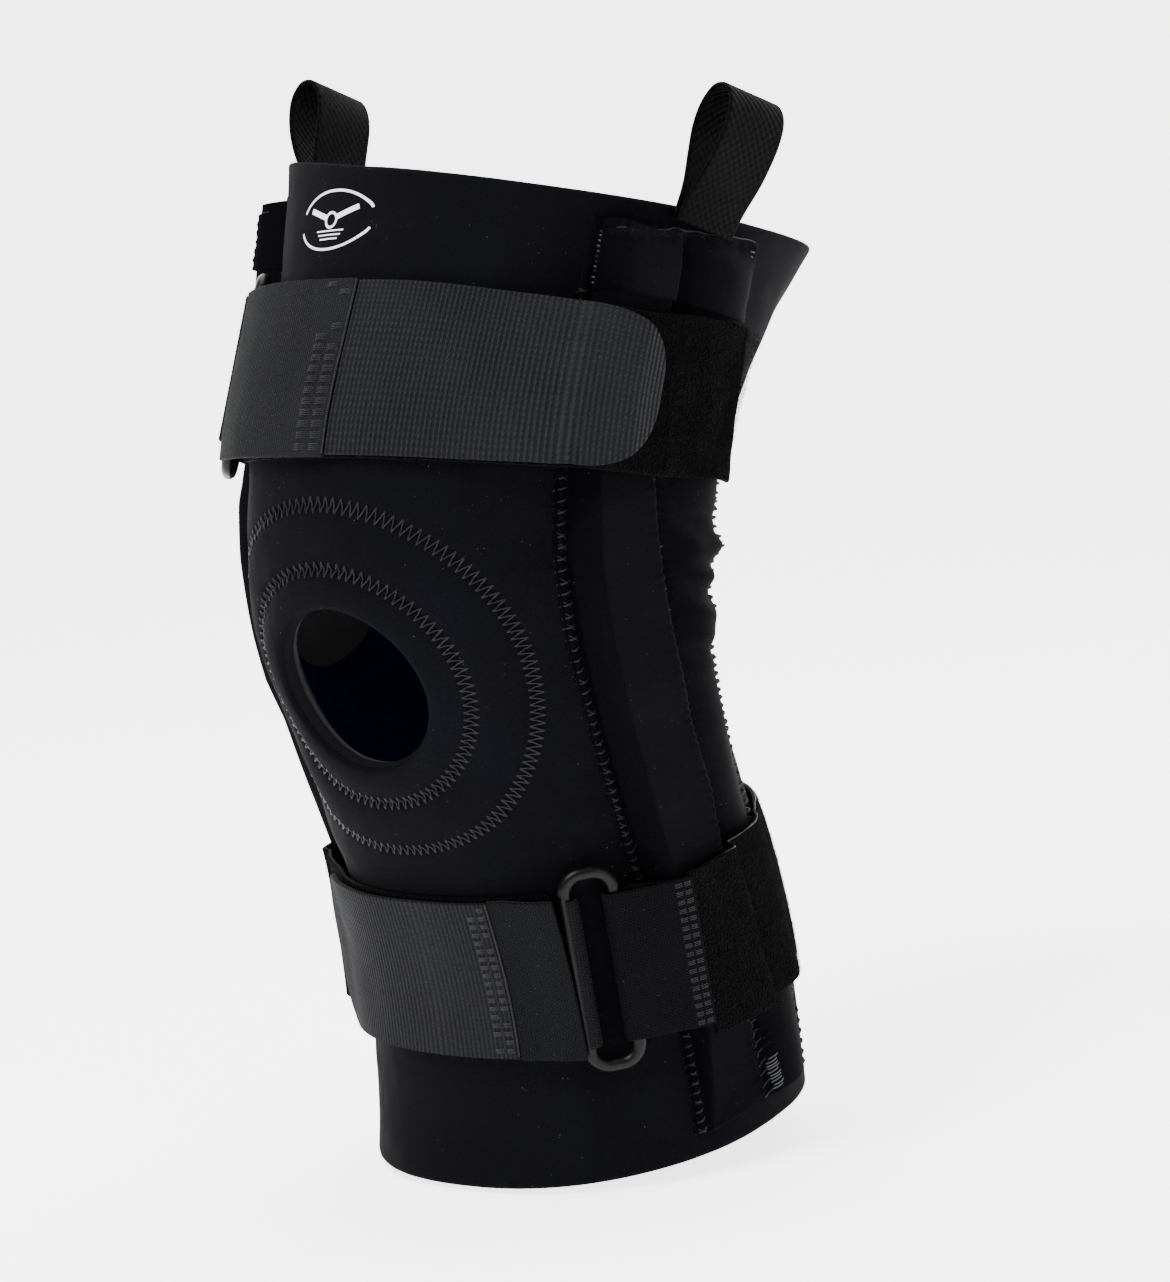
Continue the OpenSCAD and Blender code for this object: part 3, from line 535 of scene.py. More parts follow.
def front_d(th, s):
    """Relief of the sleeve's face in front."""
    th = wrap180(th); x, y = k_x(th), (s - HOLE_S)*MET; r = np.hypot(x, y)
    a = np.arctan2(y, x)
    d = 1.5*np.sin(np.pi*np.clip((r - HOLE_R + 3)/(40.5 - HOLE_R + 3), 0, 1))**.8 + 1.0*np.sin(np.pi*np.clip((r - 40.5)/20, 0, 1))**.7
    d = d - .75*gauss((r - 40.5)/1.7) - .75*gauss((r - 60.5)/1.9)
    d = d + .16*gauss((r - 40.5)/3.4)*np.cos(a*40.5/1.375*1.) + .14*gauss((r - 60.5)/3.6)*np.cos(a*60.5/1.4)
    d = d + .35*wob(th*.07, s*.06, 1) + .12*wob(th*.3, s*.25, 2)
    far = ease((r - 62)/20)
    d = d + .5*far*wob(th*.05, s*.13, 3)
    for c, amp, wd in ((-78., .55, 3.5), (-141., .5, 4.), (24., .45, 3.5), (80., .4, 4.)):
        d = d - amp*gauss((s - c)/wd)*far*.6
    return d - lip(r - HOLE_R, 1.7)*(r < HOLE_R + 3)


def back_d(th, s):
    """Relief of the sleeve's face behind, with the soft folds of the bent knee."""
    th = wrap180(th) % 360
    g = gauss((th - 180)/62)
    w = s + 5*np.sin((th - 180)*.05) + 3*np.sin((th - 180)*.11 + 1)
    f = np.sin(2*np.pi*w/15.5 + .8*np.sin(th*.06)) + .5*np.sin(2*np.pi*w/9.3 + 2 + th*.03)
    d = 1.35*g*gauss((s + 3)/30)*(f - .35)
    d = d + .4*wob(th*.06, s*.06, 4) + .13*wob(th*.3, s*.3, 5)
    return d - .35


def sleeve_d(th, s):
    t = np.abs(wrap180(th)); k = ease((t - 84)/22)
    flat = ease((s - 86)/6)*ease((t - 64)/6)*ease((112 - t)/6)      # calm under the caps and loops
    return mix(mix(front_d(th, s), back_d(th, s), k), -.35, flat)


def edge_drop(s, th, r=1.3):
    return lip(top_rim(th) - s, r) + lip(s - bottom_rim(th), r)


xs = np.concatenate([np.linspace(0, HOLE_R, 20), np.linspace(HOLE_R, 62, 33)[1:]])
outer = np.linspace(0, 1, 22)[1:]
ye = np.concatenate([[HOLE_R, HOLE_R + .5, HOLE_R + 1.1, HOLE_R + 1.8], np.linspace(HOLE_R + 2.8, 62, 31)])
xe = np.concatenate([np.linspace(0, HOLE_R, 20)[:-1], ye])
ys = np.concatenate([-xe[::-1], xe[1:]])
nx_ = len(xe)
top_t = ticks(0, 1, 58, (.25, .7, 1.3, 2.2), 90., both=False)
lowrows = 1 - ticks(0, 1, 66, (.25, .7, 1.3, 2.2), 105., both=False)[::1]
cols_in = np.concatenate([-xe[::-1], xe[1:]])
CX, CY = np.meshgrid(cols_in, ys)
a_ = np.maximum(np.abs(CX), np.abs(CY)); w_ = ease((a_ - HOLE_R)/(62 - HOLE_R))
horiz = np.abs(CX) >= np.abs(CY); safe = np.where(a_ == 0, 1, a_)
phi = np.where(horiz, CY/safe, CX/safe)*np.pi/4
px = np.where(horiz, np.sign(CX)*a_*np.cos(phi), a_*np.sin(phi)); py = np.where(horiz, a_*np.sin(phi), np.sign(CY)*a_*np.cos(phi))
MX, MY = mix(px, CX, w_), mix(py, CY, w_)
TH = k_th(MX); S = HOLE_S + MY/MET
t62 = float(k_th(62.))
def end_th(s): return look(s, MID) + 2.
# rows above and below the kneecap field
up_r, lo_r = top_t[1:], ticks(0, 1, 66, (.25, .7, 1.3, 2.2), 105., both=False)[1:]
thc = k_th(cols_in)
s_hi, s_lo = HOLE_S + 62/MET, HOLE_S - 62/MET
up_rows = [mix(s_hi, top_rim(thc), 1 - q) for q in (1 - up_r)]
up_rows = [mix(top_rim(thc), s_hi, 1 - t) for t in up_r]
lo_rows = [mix(bottom_rim(thc), s_lo, 1 - t) for t in lo_r]
# the fine steps lie at the rims
TT_ = 1 - top_t[::-1]; up_rows = [mix(s_hi, top_rim(thc), t) for t in TT_[1:]]
LL_ = 1 - ticks(0, 1, 66, (.25, .7, 1.3, 2.2), 105., both=False)[::-1]; lo_rows = [mix(s_lo, bottom_rim(thc), t) for t in LL_[1:]]
S = np.concatenate([np.array(lo_rows[::-1]), S, np.array(up_rows)]); TH = np.concatenate([np.tile(thc, (len(lo_rows), 1)), TH, np.tile(thc, (len(up_rows), 1))])
# side columns out to the middle seam, where the pocket hides the joint
nr = len(S); nl = len(lo_rows)
sR, sL = [], []; tR, tL = [], []
for q in outer:
    tR.append(mix(TH[:, -1], end_th(S[:, -1]), q)); tL.append(mix(TH[:, 0], -end_th(S[:, 0]), q))
    kk = np.zeros(nr); up = np.arange(nr) >= nl + len(ys) - 1; dn = np.arange(nr) <= nl
    fr = (S[:, -1] - s_hi)/(top_rim(thc[-1]) - s_hi); fd = (S[:, -1] - s_lo)/(bottom_rim(thc[-1]) - s_lo)
    sr = np.where(up, mix(s_hi, top_rim(tR[-1]), fr), np.where(dn, mix(s_lo, bottom_rim(tR[-1]), fd), S[:, -1]))
    fr = (S[:, 0] - s_hi)/(top_rim(thc[0]) - s_hi); fd = (S[:, 0] - s_lo)/(bottom_rim(thc[0]) - s_lo)
    sl = np.where(up, mix(s_hi, top_rim(tL[-1]), fr), np.where(dn, mix(s_lo, bottom_rim(tL[-1]), fd), S[:, 0]))
    sR.append(sr); sL.append(sl)
no = len(outer)
TH = np.concatenate([np.array(tL[::-1]).T, TH, np.array(tR).T], 1); S = np.concatenate([np.array(sL[::-1]).T, S, np.array(sR).T], 1)
D = sleeve_d(TH, S) - edge_drop(S, TH)
D0 = np.minimum(sleeve_d(TH, S), .8) - SLEEVE + edge_drop(S, TH, .8)
x0, x1 = no, no + len(cols_in) - 1; h0 = nx_ - 20
ci = np.zeros((nr - 1, TH.shape[1] - 1), bool); ci[:] = True
i0 = nl + (len(ys) - 1)//2 - 19; j0 = no + (len(cols_in) - 1)//2 - 19
ci[i0:i0 + 38, j0:j0 + 38] = False
A, B = at(TH, S, D), at(TH, S, D0)
uvx = np.cumsum(np.concatenate([[0], np.linalg.norm(np.diff(A[nr//2 + 40], axis=0), axis=1)]))
ccol = j0 - 12
uvy = np.cumsum(np.concatenate([[0], np.linalg.norm(np.diff(A[:, ccol], axis=0), axis=1)]))
UV = np.stack(np.broadcast_arrays(uvx[None], uvy[:, None]), -1)*.1
cut = i0 + 38 + 3
front_lower = shell("sleeve front lower", A[:cut + 1], B[:cut + 1], [KNIT, FOAM, NAVY], "fl", "neoprene", UV[:cut + 1], ci[:cut], (), held="stretched")
front_upper = shell("sleeve front upper", A[cut:], B[cut:], [KNIT, FOAM, NAVY], "fu", "neoprene", UV[cut:], ci[cut:], (), held="stretched")
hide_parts("knee_sleeve"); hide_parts("thigh_sleeve")

nb = 132
def back_rows(lo, hi, n, cut_low):
    t = np.linspace(0, 1, n + 1); L = 110.
    ex = [.25/L, .7/L, 1.3/L, 2.2/L]
    fine = [.15/L, .4/L, .8/L]
    t = np.sort(np.concatenate([t, [1 - e for e in ex] if cut_low else ex, fine if cut_low else [1 - e for e in fine]]))
    return t
for nm, zone, lowcut in (("sleeve back upper", "bu", True), ("sleeve back lower", "bl", False)):
    t = back_rows(0, 1, 88 if lowcut else 104, lowcut)
    f = np.linspace(0, 1, nb)
    s_mid = mix(0, 107., t) if lowcut else mix(-176., 0, t)
    e = end_th(s_mid); TH = e[:, None] + (360 - 2*e[:, None])*f[None]
    S = mix(0., top_rim(TH), t[:, None]) if lowcut else mix(bottom_rim(TH), 0., t[:, None])
    # the side edges meet the front's
    D = sleeve_d(TH, S) - edge_drop(S, TH); D0 = np.minimum(sleeve_d(TH, S), .8) - SLEEVE + edge_drop(S, TH, .8)
    o = shell(nm, at(TH, S, D), at(TH, S, D0), [KNIT, FOAM, NAVY], zone, "neoprene", held="stretched")
    if not lowcut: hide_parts("calf_sleeve")

# foam ring round the kneecap, inside
v = np.linspace(0, 2*np.pi, 97)[:-1]; u = ticks(28.2, 45.5, 9, (.4, 1.), 17.)
U_, V_ = np.meshgrid(u, -v, indexing='ij')
x = U_*np.cos(V_); TH = k_th(x); S = HOLE_S + U_*np.sin(V_)/MET
prof = np.sin(np.pi*np.clip((U_ - 28.2)/17.3, .02, .98))**.5
D1 = np.full_like(TH, -SLEEVE - .45); D0 = -SLEEVE - 1.3 - 3.2*prof
cushion = shell("kneecap cushion", at(TH, S, D1), at(TH, S, D0), [PADF, PADF, PADF], "fl", "foam", closed=True)
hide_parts("patella_cushion")
for sd, nm in ((1, "lateral"), (-1, "medial")):
    v = np.linspace(0, 2*np.pi, 49)[:-1]; u = np.linspace(.6, 23, 10)
    U_, V_ = np.meshgrid(u, -v*sd, indexing='ij')
    TH = sd*(79 + U_*np.cos(V_*sd*-1)/1.12); S = -5 + U_*np.sin(V_*-sd if sd > 0 else V_*sd)
    TH = sd*(79 + U_*np.cos(V_)/1.12); S = -5 + U_*np.sin(V_)
    D1 = np.full_like(TH, -SLEEVE - .5); D0 = -SLEEVE - 1.3 - 3.7*np.maximum(0, np.cos(np.pi/2*(U_ - .6)/22.4))**.4
    pad = shell(nm + " condyle pad", at(TH, S, D1), at(TH, S, D0), [PADF, PADF, PADF], J if sd > 0 else "medial_link", "foam", closed=True)
    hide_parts(nm + "_condyle_pad")

# kneecap stitching: two rings of zigzag, the threads' ends sunk a little into the cloth
def ring_pts(r, w, pitch):
    n = int(2*np.pi*r/pitch)*2; a = np.arange(n + 1)*2*np.pi/n
    rr = r + np.where(np.arange(n + 1) % 2, w/2, -w/2); x = rr*np.cos(a); y = rr*np.sin(a)
    return np.stack([k_th(x), HOLE_S + y/MET], 1), y
for r, w, pitch, mat in ((40.5, 4.6, 2.75, THRD), (60.5, 5., 2.8, THRD)):
    P, y = ring_pts(r, w, pitch)
    up = y > 34.
    for zone, m in (("fu", up[:-1]), ("fl", ~up[:-1])):
        if m.any():
            stitches(f"kneecap zigzag {int(r)} {zone}", P[:-1][m], P[1:][m], .12, .32, .24, mat, zone, sleeve_d, 7)
# navy thread shows at the inner ring's side
P, y = ring_pts(40.5, 4.0, 2.75); m = (np.arange(len(P)) % 5 == 0)[:-1] & (np.abs(P[:-1, 0]) > 12) & (y[:-1] < 30)
stitches("kneecap under thread", P[:-1][m], P[1:][m], -.02, .3, .2, NAVYT, "fl", sleeve_d, 6)

# ---------------------------------------------------------------- hinge pockets
def seam_dist(s, v):
    """Distance in mm to the front, middle and rear seams, roughly."""
    f, m, r = look(s, FRONT), look(s, MID), look(s, REAR)
    wf, wr = (m - f)*1.12, (r - m)*1.2
    df = v/.55*wf; dm = np.where(v < .55, (1 - v/.55)*wf, (v - .55)/.45*wr); dr = (1 - v)/.45*wr
    return df, np.abs(dm), dr


def pocket_in(s, v):
    df, dm, dr = seam_dist(s, v)
    return .06 + prise(s, v)


def pocket_out(s, v, side=1):
    df, dm, dr = seam_dist(s, v); k = 0 if side > 0 else 40; de = df + .075/.55*(look(s, MID) - look(s, FRONT))*1.12
    d = .06 + prise(s, v) + COVER
    free = ease((30 - np.abs(s + 6))/14)            # folds where the knee bends
    w = s + 2.5*np.sin(v*9)
    folds = (np.sin(2*np.pi*w/19 + .5) + .45*np.sin(2*np.pi*w/10.5 + 2))
    rear = np.clip((v - .6)/.12, 0, 1)*ease(dr/1.6)
    bare = np.clip((s + 76)/6, 0, 1)*np.clip((27 - s)/5, 0, 1)
    d = d + rear*bare*(free*1.25*folds + .5*wob(s*.16, v*5, 11 + k))
    d = d + 3.6*gauss((s - 9)/4.4)*gauss((v - .95)/.12)*ease(dr/.8)*(v > .6) - 1.3*gauss((s - 1)/2.6)*rear - 1.2*gauss((s - 17.5)/2.4)*rear
    d = d + .22*wob(s*.09, v*3, 12 + k)*ease(df/4)
    puck = np.cos(2*np.pi*s/3.1 + 2*np.sin(s*.13))
    d = d + .38*puck*gauss((dm - 2.8)/1.9) + .22*puck*gauss((de - 2.2)/1.2) + .3*puck*gauss((dr - 1.6)/1.4)*(v > .6)
    d = d - .6*gauss(dm/1.5) - .35*gauss((df + .2)/1.1)
    return d - lip(np.minimum(de, np.where(v > .6, dr, 99)), .9)


VT = np.unique(np.concatenate([[-.075, -.071, -.065, -.055, -.035, -.015, 0, .006, .014, .024, .034, .045, .056, .0715], np.linspace(.09, .46, 17), [.4785, .487, .497, .506, .515, .524, .533, .542, .55, .558, .568, .58, .594], np.linspace(.61, .93, 17), [.95, .965, .976, .985, .993, 1]]))
for side, nm in ((1, "lateral"), (-1, "medial")):
    top = 98. if side > 0 else 108.
    for part, zone, s0, s1, n in (("upper", "pu", 0., top, 76), ("lower", "pl", -170., 0., 128)):
        cutlow = part == "upper"
        t = np.linspace(0, 1, n + 1); L = s1 - s0; fine = np.array([.15, .4, .8])/L; ed = np.array([.3, .8, 1.5])/L
        t = np.sort(np.concatenate([t, fine if cutlow else 1 - fine, 1 - ed if cutlow else ed])); s = mix(s0, s1, t)
        S, V = np.meshgrid(s, VT, indexing='ij'); TH = pangle(S, V)
        D = pocket_out(S, V, side) - (0 if cutlow else lip(S - s0, 1.))
        D0 = np.minimum(pocket_in(S, V), D - .35)
        o = shell(f"{nm} pocket {part}", at(side*TH, S, D), at(side*TH, S, D0), [POCK_SHADED, FOAM, POCK_SHADED], zone, "neoprene", held="stretched", rests=("sleeve front " + part,), flip=side < 0)
        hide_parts(f"{nm}_pocket_upper" if cutlow else f"{nm}_pocket_lower", *([f"{nm}_pocket_knee"] if not cutlow else []))


def psurf(side):
    def f(th, s):
        t = np.abs(wrap180(th)); a, m, r = look(s, FRONT), look(s, MID), look(s, REAR)
        v = np.where(t < m, .55*(t - a)/(m - a), .55 + .45*(t - m)/(r - m))
        return np.where((v <= -.075) | (v >= 1), sleeve_d(th, s) + .05, pocket_out(s, np.clip(v, -.075, 1), side))
    return f


# seams: zigzag over the pocket's edges and along the middle; split where the knee bends
for side, nm in ((1, "lateral"), (-1, "medial")):
    surf = psurf(side); top = 75. if side > 0 else 85.
    for lab, tab, off0, off1, pitch, arch, r, mat, lo in (("front seam", FRONT, -4.1, -1.1, 2.9, .4, .28, BLACKT, -169), ("front seam return", FRONT, -1.3, -3.9, 2.9, .3, .2, THRD, -169),
            ("middle seam", MID, -1.6, 1.6, 3.2, .3, .22, BLACKT, -169), ("rear seam", REAR, -2.2, 1.7, 3.1, .9, .42, BLACKT, -169), ("rear seam return", REAR, 1.3, -1.8, 3.1, .4, .24, THRD, -169)):
        s = np.arange(lo, top, pitch); s = s + rng.normal(0, .12, len(s)); m = rng.random(len(s)) > (.35 if "return" in lab else .0); s = s[m]
        k = look(s, tab); sc = 1/1.12
        A = np.stack([side*(k + off0*sc + rng.normal(0, .15, len(s))), s], 1); B = np.stack([side*(k + off1*sc + rng.normal(0, .15, len(s))), s + (1.3 if "return" not in lab else 1.6)], 1)
        for zone, mm in (("pu", s > 0), ("pl", s <= 0)):
            stitches(f"{nm} {lab} {zone}", A[mm], B[mm], .1, arch, r, mat, zone, surf, 7)
    # overlocked cord along the front and rear edges
    for lab, tab, rr, off in (("front bead", FRONT, .55, -3.3), ("rear bead", REAR, .85, .6)):
        for zone, lo, hi in (("pu", 0., top), ("pl", -169., 0.)):
            s = np.arange(lo, hi + .01, .45); s[-1] = hi; th = side*(look(s, tab) + off)
            rad = rr*(.72 + .38*np.abs(np.sin(np.pi*s/3.1)) + .1*np.sin(s*.7 + side)); d = surf(th, s)*0 + .35 + rad*.4 + sleeve_d(th, s)
            tubes(f"{nm} {lab} {zone}", at(th, s, d)[None], out(th, s)[None], rad[None], EDGE if "rear" in lab else POCK_SHADED, zone, sides=8, flat=.85)
    # loose fibres along the seams
    for zone, lo, hi in (("pu", 2., top), ("pl", -168., -2.)):
        for tab, off, n in ((FRONT, -3., 420), (REAR, 1.2, 200), (MID, 0., 90)):
            s = rng.uniform(lo, hi, n); th = side*(look(s, tab) + off + rng.normal(0, .7, n)); N = out(th, s)
            hairs(f"{nm} seam fibres {zone} {off}", at(th, s, surf(th, s) + .1), N, unit_rand(n, N), rng.uniform(.5, 1.6, n), FUZZ, zone, .05, .5)
# bar tack low on the rear channel, pale
s = np.linspace(-159, -168, 10); k = rng.normal(0, .25, 10)
A = np.stack([96.4 + k, s], 1); B = np.stack([99.2 + k, s + .5], 1)
stitches("bar tack", A, B, .15, .3, .2, PALET, "shin", psurf(1), 6)

# ---------------------------------------------------------------- caps on the pockets' tops
for side, nm in ((1, "lateral"), (-1, "medial")):
    upz = 0. if side > 0 else 10.
    VV = ticks(0, 1, 46, (.3, .8, 1.5), 50.); UU = ticks(0, 1, 22, (.3, .8, 1.5), 22.)
    U_, V_ = np.meshgrid(UU, VV, indexing='ij')
    s0 = 76 + upz + 6*V_; s1 = 94.5 + upz + 12*V_ + .35*np.sin(V_*17) + .2*np.sin(V_*41 + 1)
    S = mix(s0, s1, U_); TH = pangle(S, V_)
    df, dm, dr = seam_dist(S, V_); du, dl = (s1 - S), (S - s0)
    body = ease(df/6)*ease(dr/6)*ease(du/6)
    lobes = np.where(V_ < .55, np.sin(np.pi*np.clip(V_/.55, 0, 1))**.6, np.sin(np.pi*np.clip((V_ - .55)/.45, 0, 1))**.6)
    rise = prise(S, V_)*ease((103 + upz - S)/9)
    lobes = lobes*(1 - .85*gauss((s1 - S)/7))*(1. if side > 0 else .7)
    D0 = 1.5 + rise; D = D0 + .9 + 1.5*lobes*body + .25*wob(S*.3, V_*14, 21 + int(upz)) - .5*gauss(dm/1.5)
    D = D + .25*np.cos(2*np.pi*S/3.)*(gauss((df - 2.5)/1.6) + gauss((dr - 2.5)/1.6)) + .22*np.cos(V_*70)*gauss((du - 2.5)/1.6)
    D = D - lip(np.minimum(np.minimum(df, dr), np.minimum(du, dl)), .8)
    D0 = np.minimum(D0, D - .3)
    cap = shell(f"{nm} pocket cap", at(side*TH, S, D), at(side*TH, S, D0), [POCK_SHADED, FOAM, NAVY], "thigh", "edge_tape", held="laid", rests=(f"{nm} pocket upper",), flip=side < 0)
    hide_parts(f"{nm}_pocket_cap")
    def csurf(th, s, upz=upz, side=side):
        t = np.abs(wrap180(th)); a, m, r = look(s, FRONT), look(s, MID), look(s, REAR)
        v = np.clip(np.where(t < m, .55*(t - a)/(m - a), .55 + .45*(t - m)/(r - m)), 0, 1)
        return 2.4 + prise(s, v)*ease((103 + upz - s)/9)
    for lab, vv in (("front", .02), ("rear", .975)):
        a0, a1 = (78 + upz, 94 + upz) if vv < .5 else (84 + upz, 104 + upz)
        s = np.arange(a0, a1, 1.55); v0 = np.full(len(s), vv)
        A = np.stack([side*(pangle(s, v0) + 1.9*(1 if vv < .5 else -1)), s], 1); B = np.stack([side*(pangle(s + .8, v0) - 2.0*(1 if vv < .5 else -1)), s + .8 + rng.normal(0, .2, len(s))], 1)
        ex = rng.random(len(s)) > .5
        dn = lambda th, s_, f=csurf: f(th, s_)*ease(1 + 0*th)
        for mat, mm, rr in ((PALET, ex, .24), (BLACKT, ~ex, .3)):
            if mm.any():
                P = at(mix(A[mm][:, :1], B[mm][:, :1], np.linspace(0, 1, 7)[None]), mix(A[mm][:, 1:], B[mm][:, 1:], np.linspace(0, 1, 7)[None]),
                    mix(2.6, .5, ease(np.linspace(0, 1, 7)))[None] + csurf(A[mm][:, :1], A[mm][:, 1:])*0 + .5*np.sin(np.pi*np.linspace(0, 1, 7))[None] + .0)
                N = out(A[mm][:, :1] + 0*np.linspace(0, 1, 7)[None], A[mm][:, 1:] + 0*np.linspace(0, 1, 7)[None])
                tubes(f"{nm} cap {lab} stitches {int(rr*100)}", P, N, rr, mat, "thigh")
    v0 = np.linspace(.03, .97, 90); s = 94.3 + upz + 12*v0 + .35*np.sin(v0*17) + .2*np.sin(v0*41 + 1); th = side*pangle(s, v0)
    h = 1.75 + prise(s, v0)*ease((103 + upz - s)/9)
    tubes(f"{nm} cap navy edge", at(th, s, h)[None], out(th, s)[None], .26*np.ones((1, 90)), NAVYT, "thigh", sides=6)
    n = 260; v0 = rng.uniform(0, 1, n); s = 94.5 + upz + 12*v0 - rng.uniform(0, 2.2, n); th = side*pangle(s, v0); N = out(th, s)
    hairs(f"{nm} cap frayed top", at(th, s, 2.4 + prise(s, v0)*ease((103 + upz - s)/9)), N*.6, stand(side*85, 100, 0)[1][None] + .6*unit_rand(n, N), rng.uniform(.8, 2.4, n), FUZZ, "thigh", .06, .6)
    e = rng.random(300); v0 = np.where(e < .5, .01, .99); s = mix(77 + upz, 95 + upz, rng.random(300)) + np.where(e < .5, 0, 8); th = side*pangle(s, v0); N = out(th, s)
    hairs(f"{nm} cap frayed sides", at(th, s, 1.6), N, unit_rand(300, N), rng.uniform(.6, 2.2, 300), FUZZ, "thigh", .06, .6)
n = 16; th = 100.5 + rng.normal(0, .6, n); s = 97.5 + rng.normal(0, 1.2, n); N = out(th, s)
hairs("thread tuft", at(th, s, .2 + sleeve_d(th, s)), N, unit_rand(n, N), rng.uniform(1.6, 3.6, n), PALET, "thigh", .07, .9)

# ---------------------------------------------------------------- upper strap
def strap(name, TH, S, lift, thick, mats, zone, slot, held, rests=(), r=.7, tail=0, **kw):
    A0 = at(TH, S, lift); du = np.linalg.norm(A0 - A0[:1], axis=2); dl = np.linalg.norm(A0 - A0[-1:], axis=2)
    dv0 = np.linalg.norm(A0 - A0[:, :1], axis=2); dv1 = np.linalg.norm(A0 - A0[:, -1:], axis=2)
    e = np.minimum(np.minimum(du, dl), np.minimum(dv0, dv1)); k = lip(e, r)
    return shell(name, at(TH, S, lift + thick - k*.75), at(TH, S, lift + k*.25), mats, zone, slot, held=held, rests=rests, **kw)


uu = ticks(0, 1, 34, (.3, .8), 46.); vv = ticks(0, 1, 190, (.3, .8), 190.)
U_, V_ = np.meshgrid(uu, vv, indexing='ij'); TH = mix(RING_TH + 4, mix(115, 104, U_), V_); S = mix(strap_low(TH), strap_top(TH), U_)
lift = base_lift(TH)
bumpy = ease((TH - 76)/6)
D = lift + .25*bumpy*wob(TH*.35, S*.22, 31) + bumpy*(.35*np.sin(2*np.pi*(TH - 90)/26)*ease((S - 32)/8))
o = strap("upper strap base", TH, S, D, ST, [PILE, WEBB, WEBB], "thigh", "loop_pile", "stretched", ("sleeve front upper", "lateral pocket upper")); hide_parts("upper_strap_base")
def base_top(th, s): return base_lift(th) + ST

uu = ticks(0, 1, 34, (.3, .8), 46.); vv = ticks(0, 1, 46, (.3, .8), 50.)
U_, V_ = np.meshgrid(uu, vv, indexing='ij'); TH = mix(RING_TH + 2.2, 3.5, V_); S = mix(strap_low(TH), strap_top(TH), U_)
lift = look(V_, DROP) + .15*wob(TH*.2, S*.1, 32)*ease(V_*4)
o = strap("upper elastic", TH, S, lift, ST, [ELAS, EDGE, ELAS], "upper_strap", "elastic", "stretched", ("upper strap base",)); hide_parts("upper_strap_band")

def tab_end(u): return 62 + 17*np.sqrt(np.maximum(0, 1 - np.abs(2*u - 1)**2.6))
uu = ticks(0, 1, 60, (.08, .2, .45, .9, 1.5), 46.); vv = ticks(0, 1, 88, (.3, .8), 82.)
U_, V_ = np.meshgrid(uu, vv, indexing='ij'); TH = mix(3.9, tab_end(U_), V_); S = mix(strap_low(TH) + .5, strap_top(TH) - .5, U_)
P = at(TH, S, 5); UV = np.stack([(TH - 4)*1.15*.1, (S - 28)*.1], -1)
o = strap("upper hook tab", TH, S, tab_lift(TH) + .12*wob(TH*.2, S*.15, 33), TT, [HOOK, ELAS, HOOK], "upper_strap", "hook_tape", "laid", ("upper strap base",), uv=UV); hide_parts("upper_hook_tab")
# piping at the join of elastic and tab, and its bar tack grid
s = np.linspace(28.6, 70.4, 60); th = np.full(60, 3.7)
tubes("upper tab join", at(th, s, 5.05)[None], out(th, s)[None], .38*np.ones((1, 60)), BLACKT, "upper_strap")
def tack_grid(name, zone, th0, th1, slo, shi, rows, cols, surf, mat, fade):
    A, B = [], []
    for i in range(rows):
        for j in range(cols):
            if rng.random() < fade(i/(rows - 1)):
                a = mix(th0, th1, (j + .12)/cols); b = mix(th0, th1, (j + .88)/cols); s_ = mix(slo, shi, (i + .5)/rows)
                for q in (-.55, -.15, .25, .6): A.append((a, s_ + q)); B.append((b, s_ + q + .1))
    A, B = np.array(A), np.array(B)
    if len(A): stitches(name, A, B, .05, .18, .14, mat, zone, surf, 5)
usurf = lambda th, s: look((th + 37.8)/41.3, DROP) + ST + .05
tack_grid("upper tab tack", "upper_strap", -3.6, 3.0, 28.8, 70.2, 17, 2, usurf, TACK, lambda t: 1. if t < .45 else .95 - .75*(t - .45)/.55)
lsurf0 = lambda th, s: look(1 - (th - 22.5)/19.5, DROP) + ST + .05

# ring folds and anchors, as side views in the ring's own frame
def strip3(name, path, th, s, d, width, thick, mats, zone, slot, turn=0., held="folded", rests=(), lo=None):
    t, z, n, o = stand(th, s, d)
    if turn: c, q = math.cos(turn*R), math.sin(turn*R); t, z = t*c + z*q, -t*q + z*c
    path = np.array(path, float); g = np.gradient(path, axis=0); g /= np.linalg.norm(g, axis=1, keepdims=True) + 1e-9; nn = np.stack([-g[:, 1], g[:, 0]], 1)
    w = ticks(-width/2, width/2, 24, (.3, .8), width)
    def pts(k):
        q = path[None] + nn[None]*k[..., None]
        return o + q[..., :1]*t + w[:, None, None]*z + q[..., 1:]*n
    e = lip(np.minimum(w + width/2, width/2 - w), .6)[:, None]*np.ones((1, len(path)))
    u = np.concatenate([[0], np.cumsum(np.linalg.norm(np.diff(path, axis=0), axis=1))]); uv = np.stack(np.broadcast_arrays(u[None]*.1, w[:, None]*.1), -1)
    return shell(name, pts(thick/2 - e*.6), pts(-thick/2 + e*.6), mats, zone, slot, uv=uv, held=held, rests=rests, flip=True)


def arc(cx, cy, r, a0, a1, n=22):
    a = np.linspace(a0, a1, n)*R; return np.stack([cx + r*np.cos(a), cy + r*np.sin(a)], 1).tolist()


def refine(p, n):
    p = np.array(p, float); k = len(p); t = np.linspace(0, k - 1, n); i = np.clip(t.astype(int), 0, k - 2); f = (t - i)[:, None]
    a, b, c, d = p[np.maximum(i - 1, 0)], p[i], p[i + 1], p[np.minimum(i + 2, k - 1)]
    return b + .5*f*((c - a) + f*(2*a - 5*b + 4*c - d + f*(3*(b - c) + d - a)))


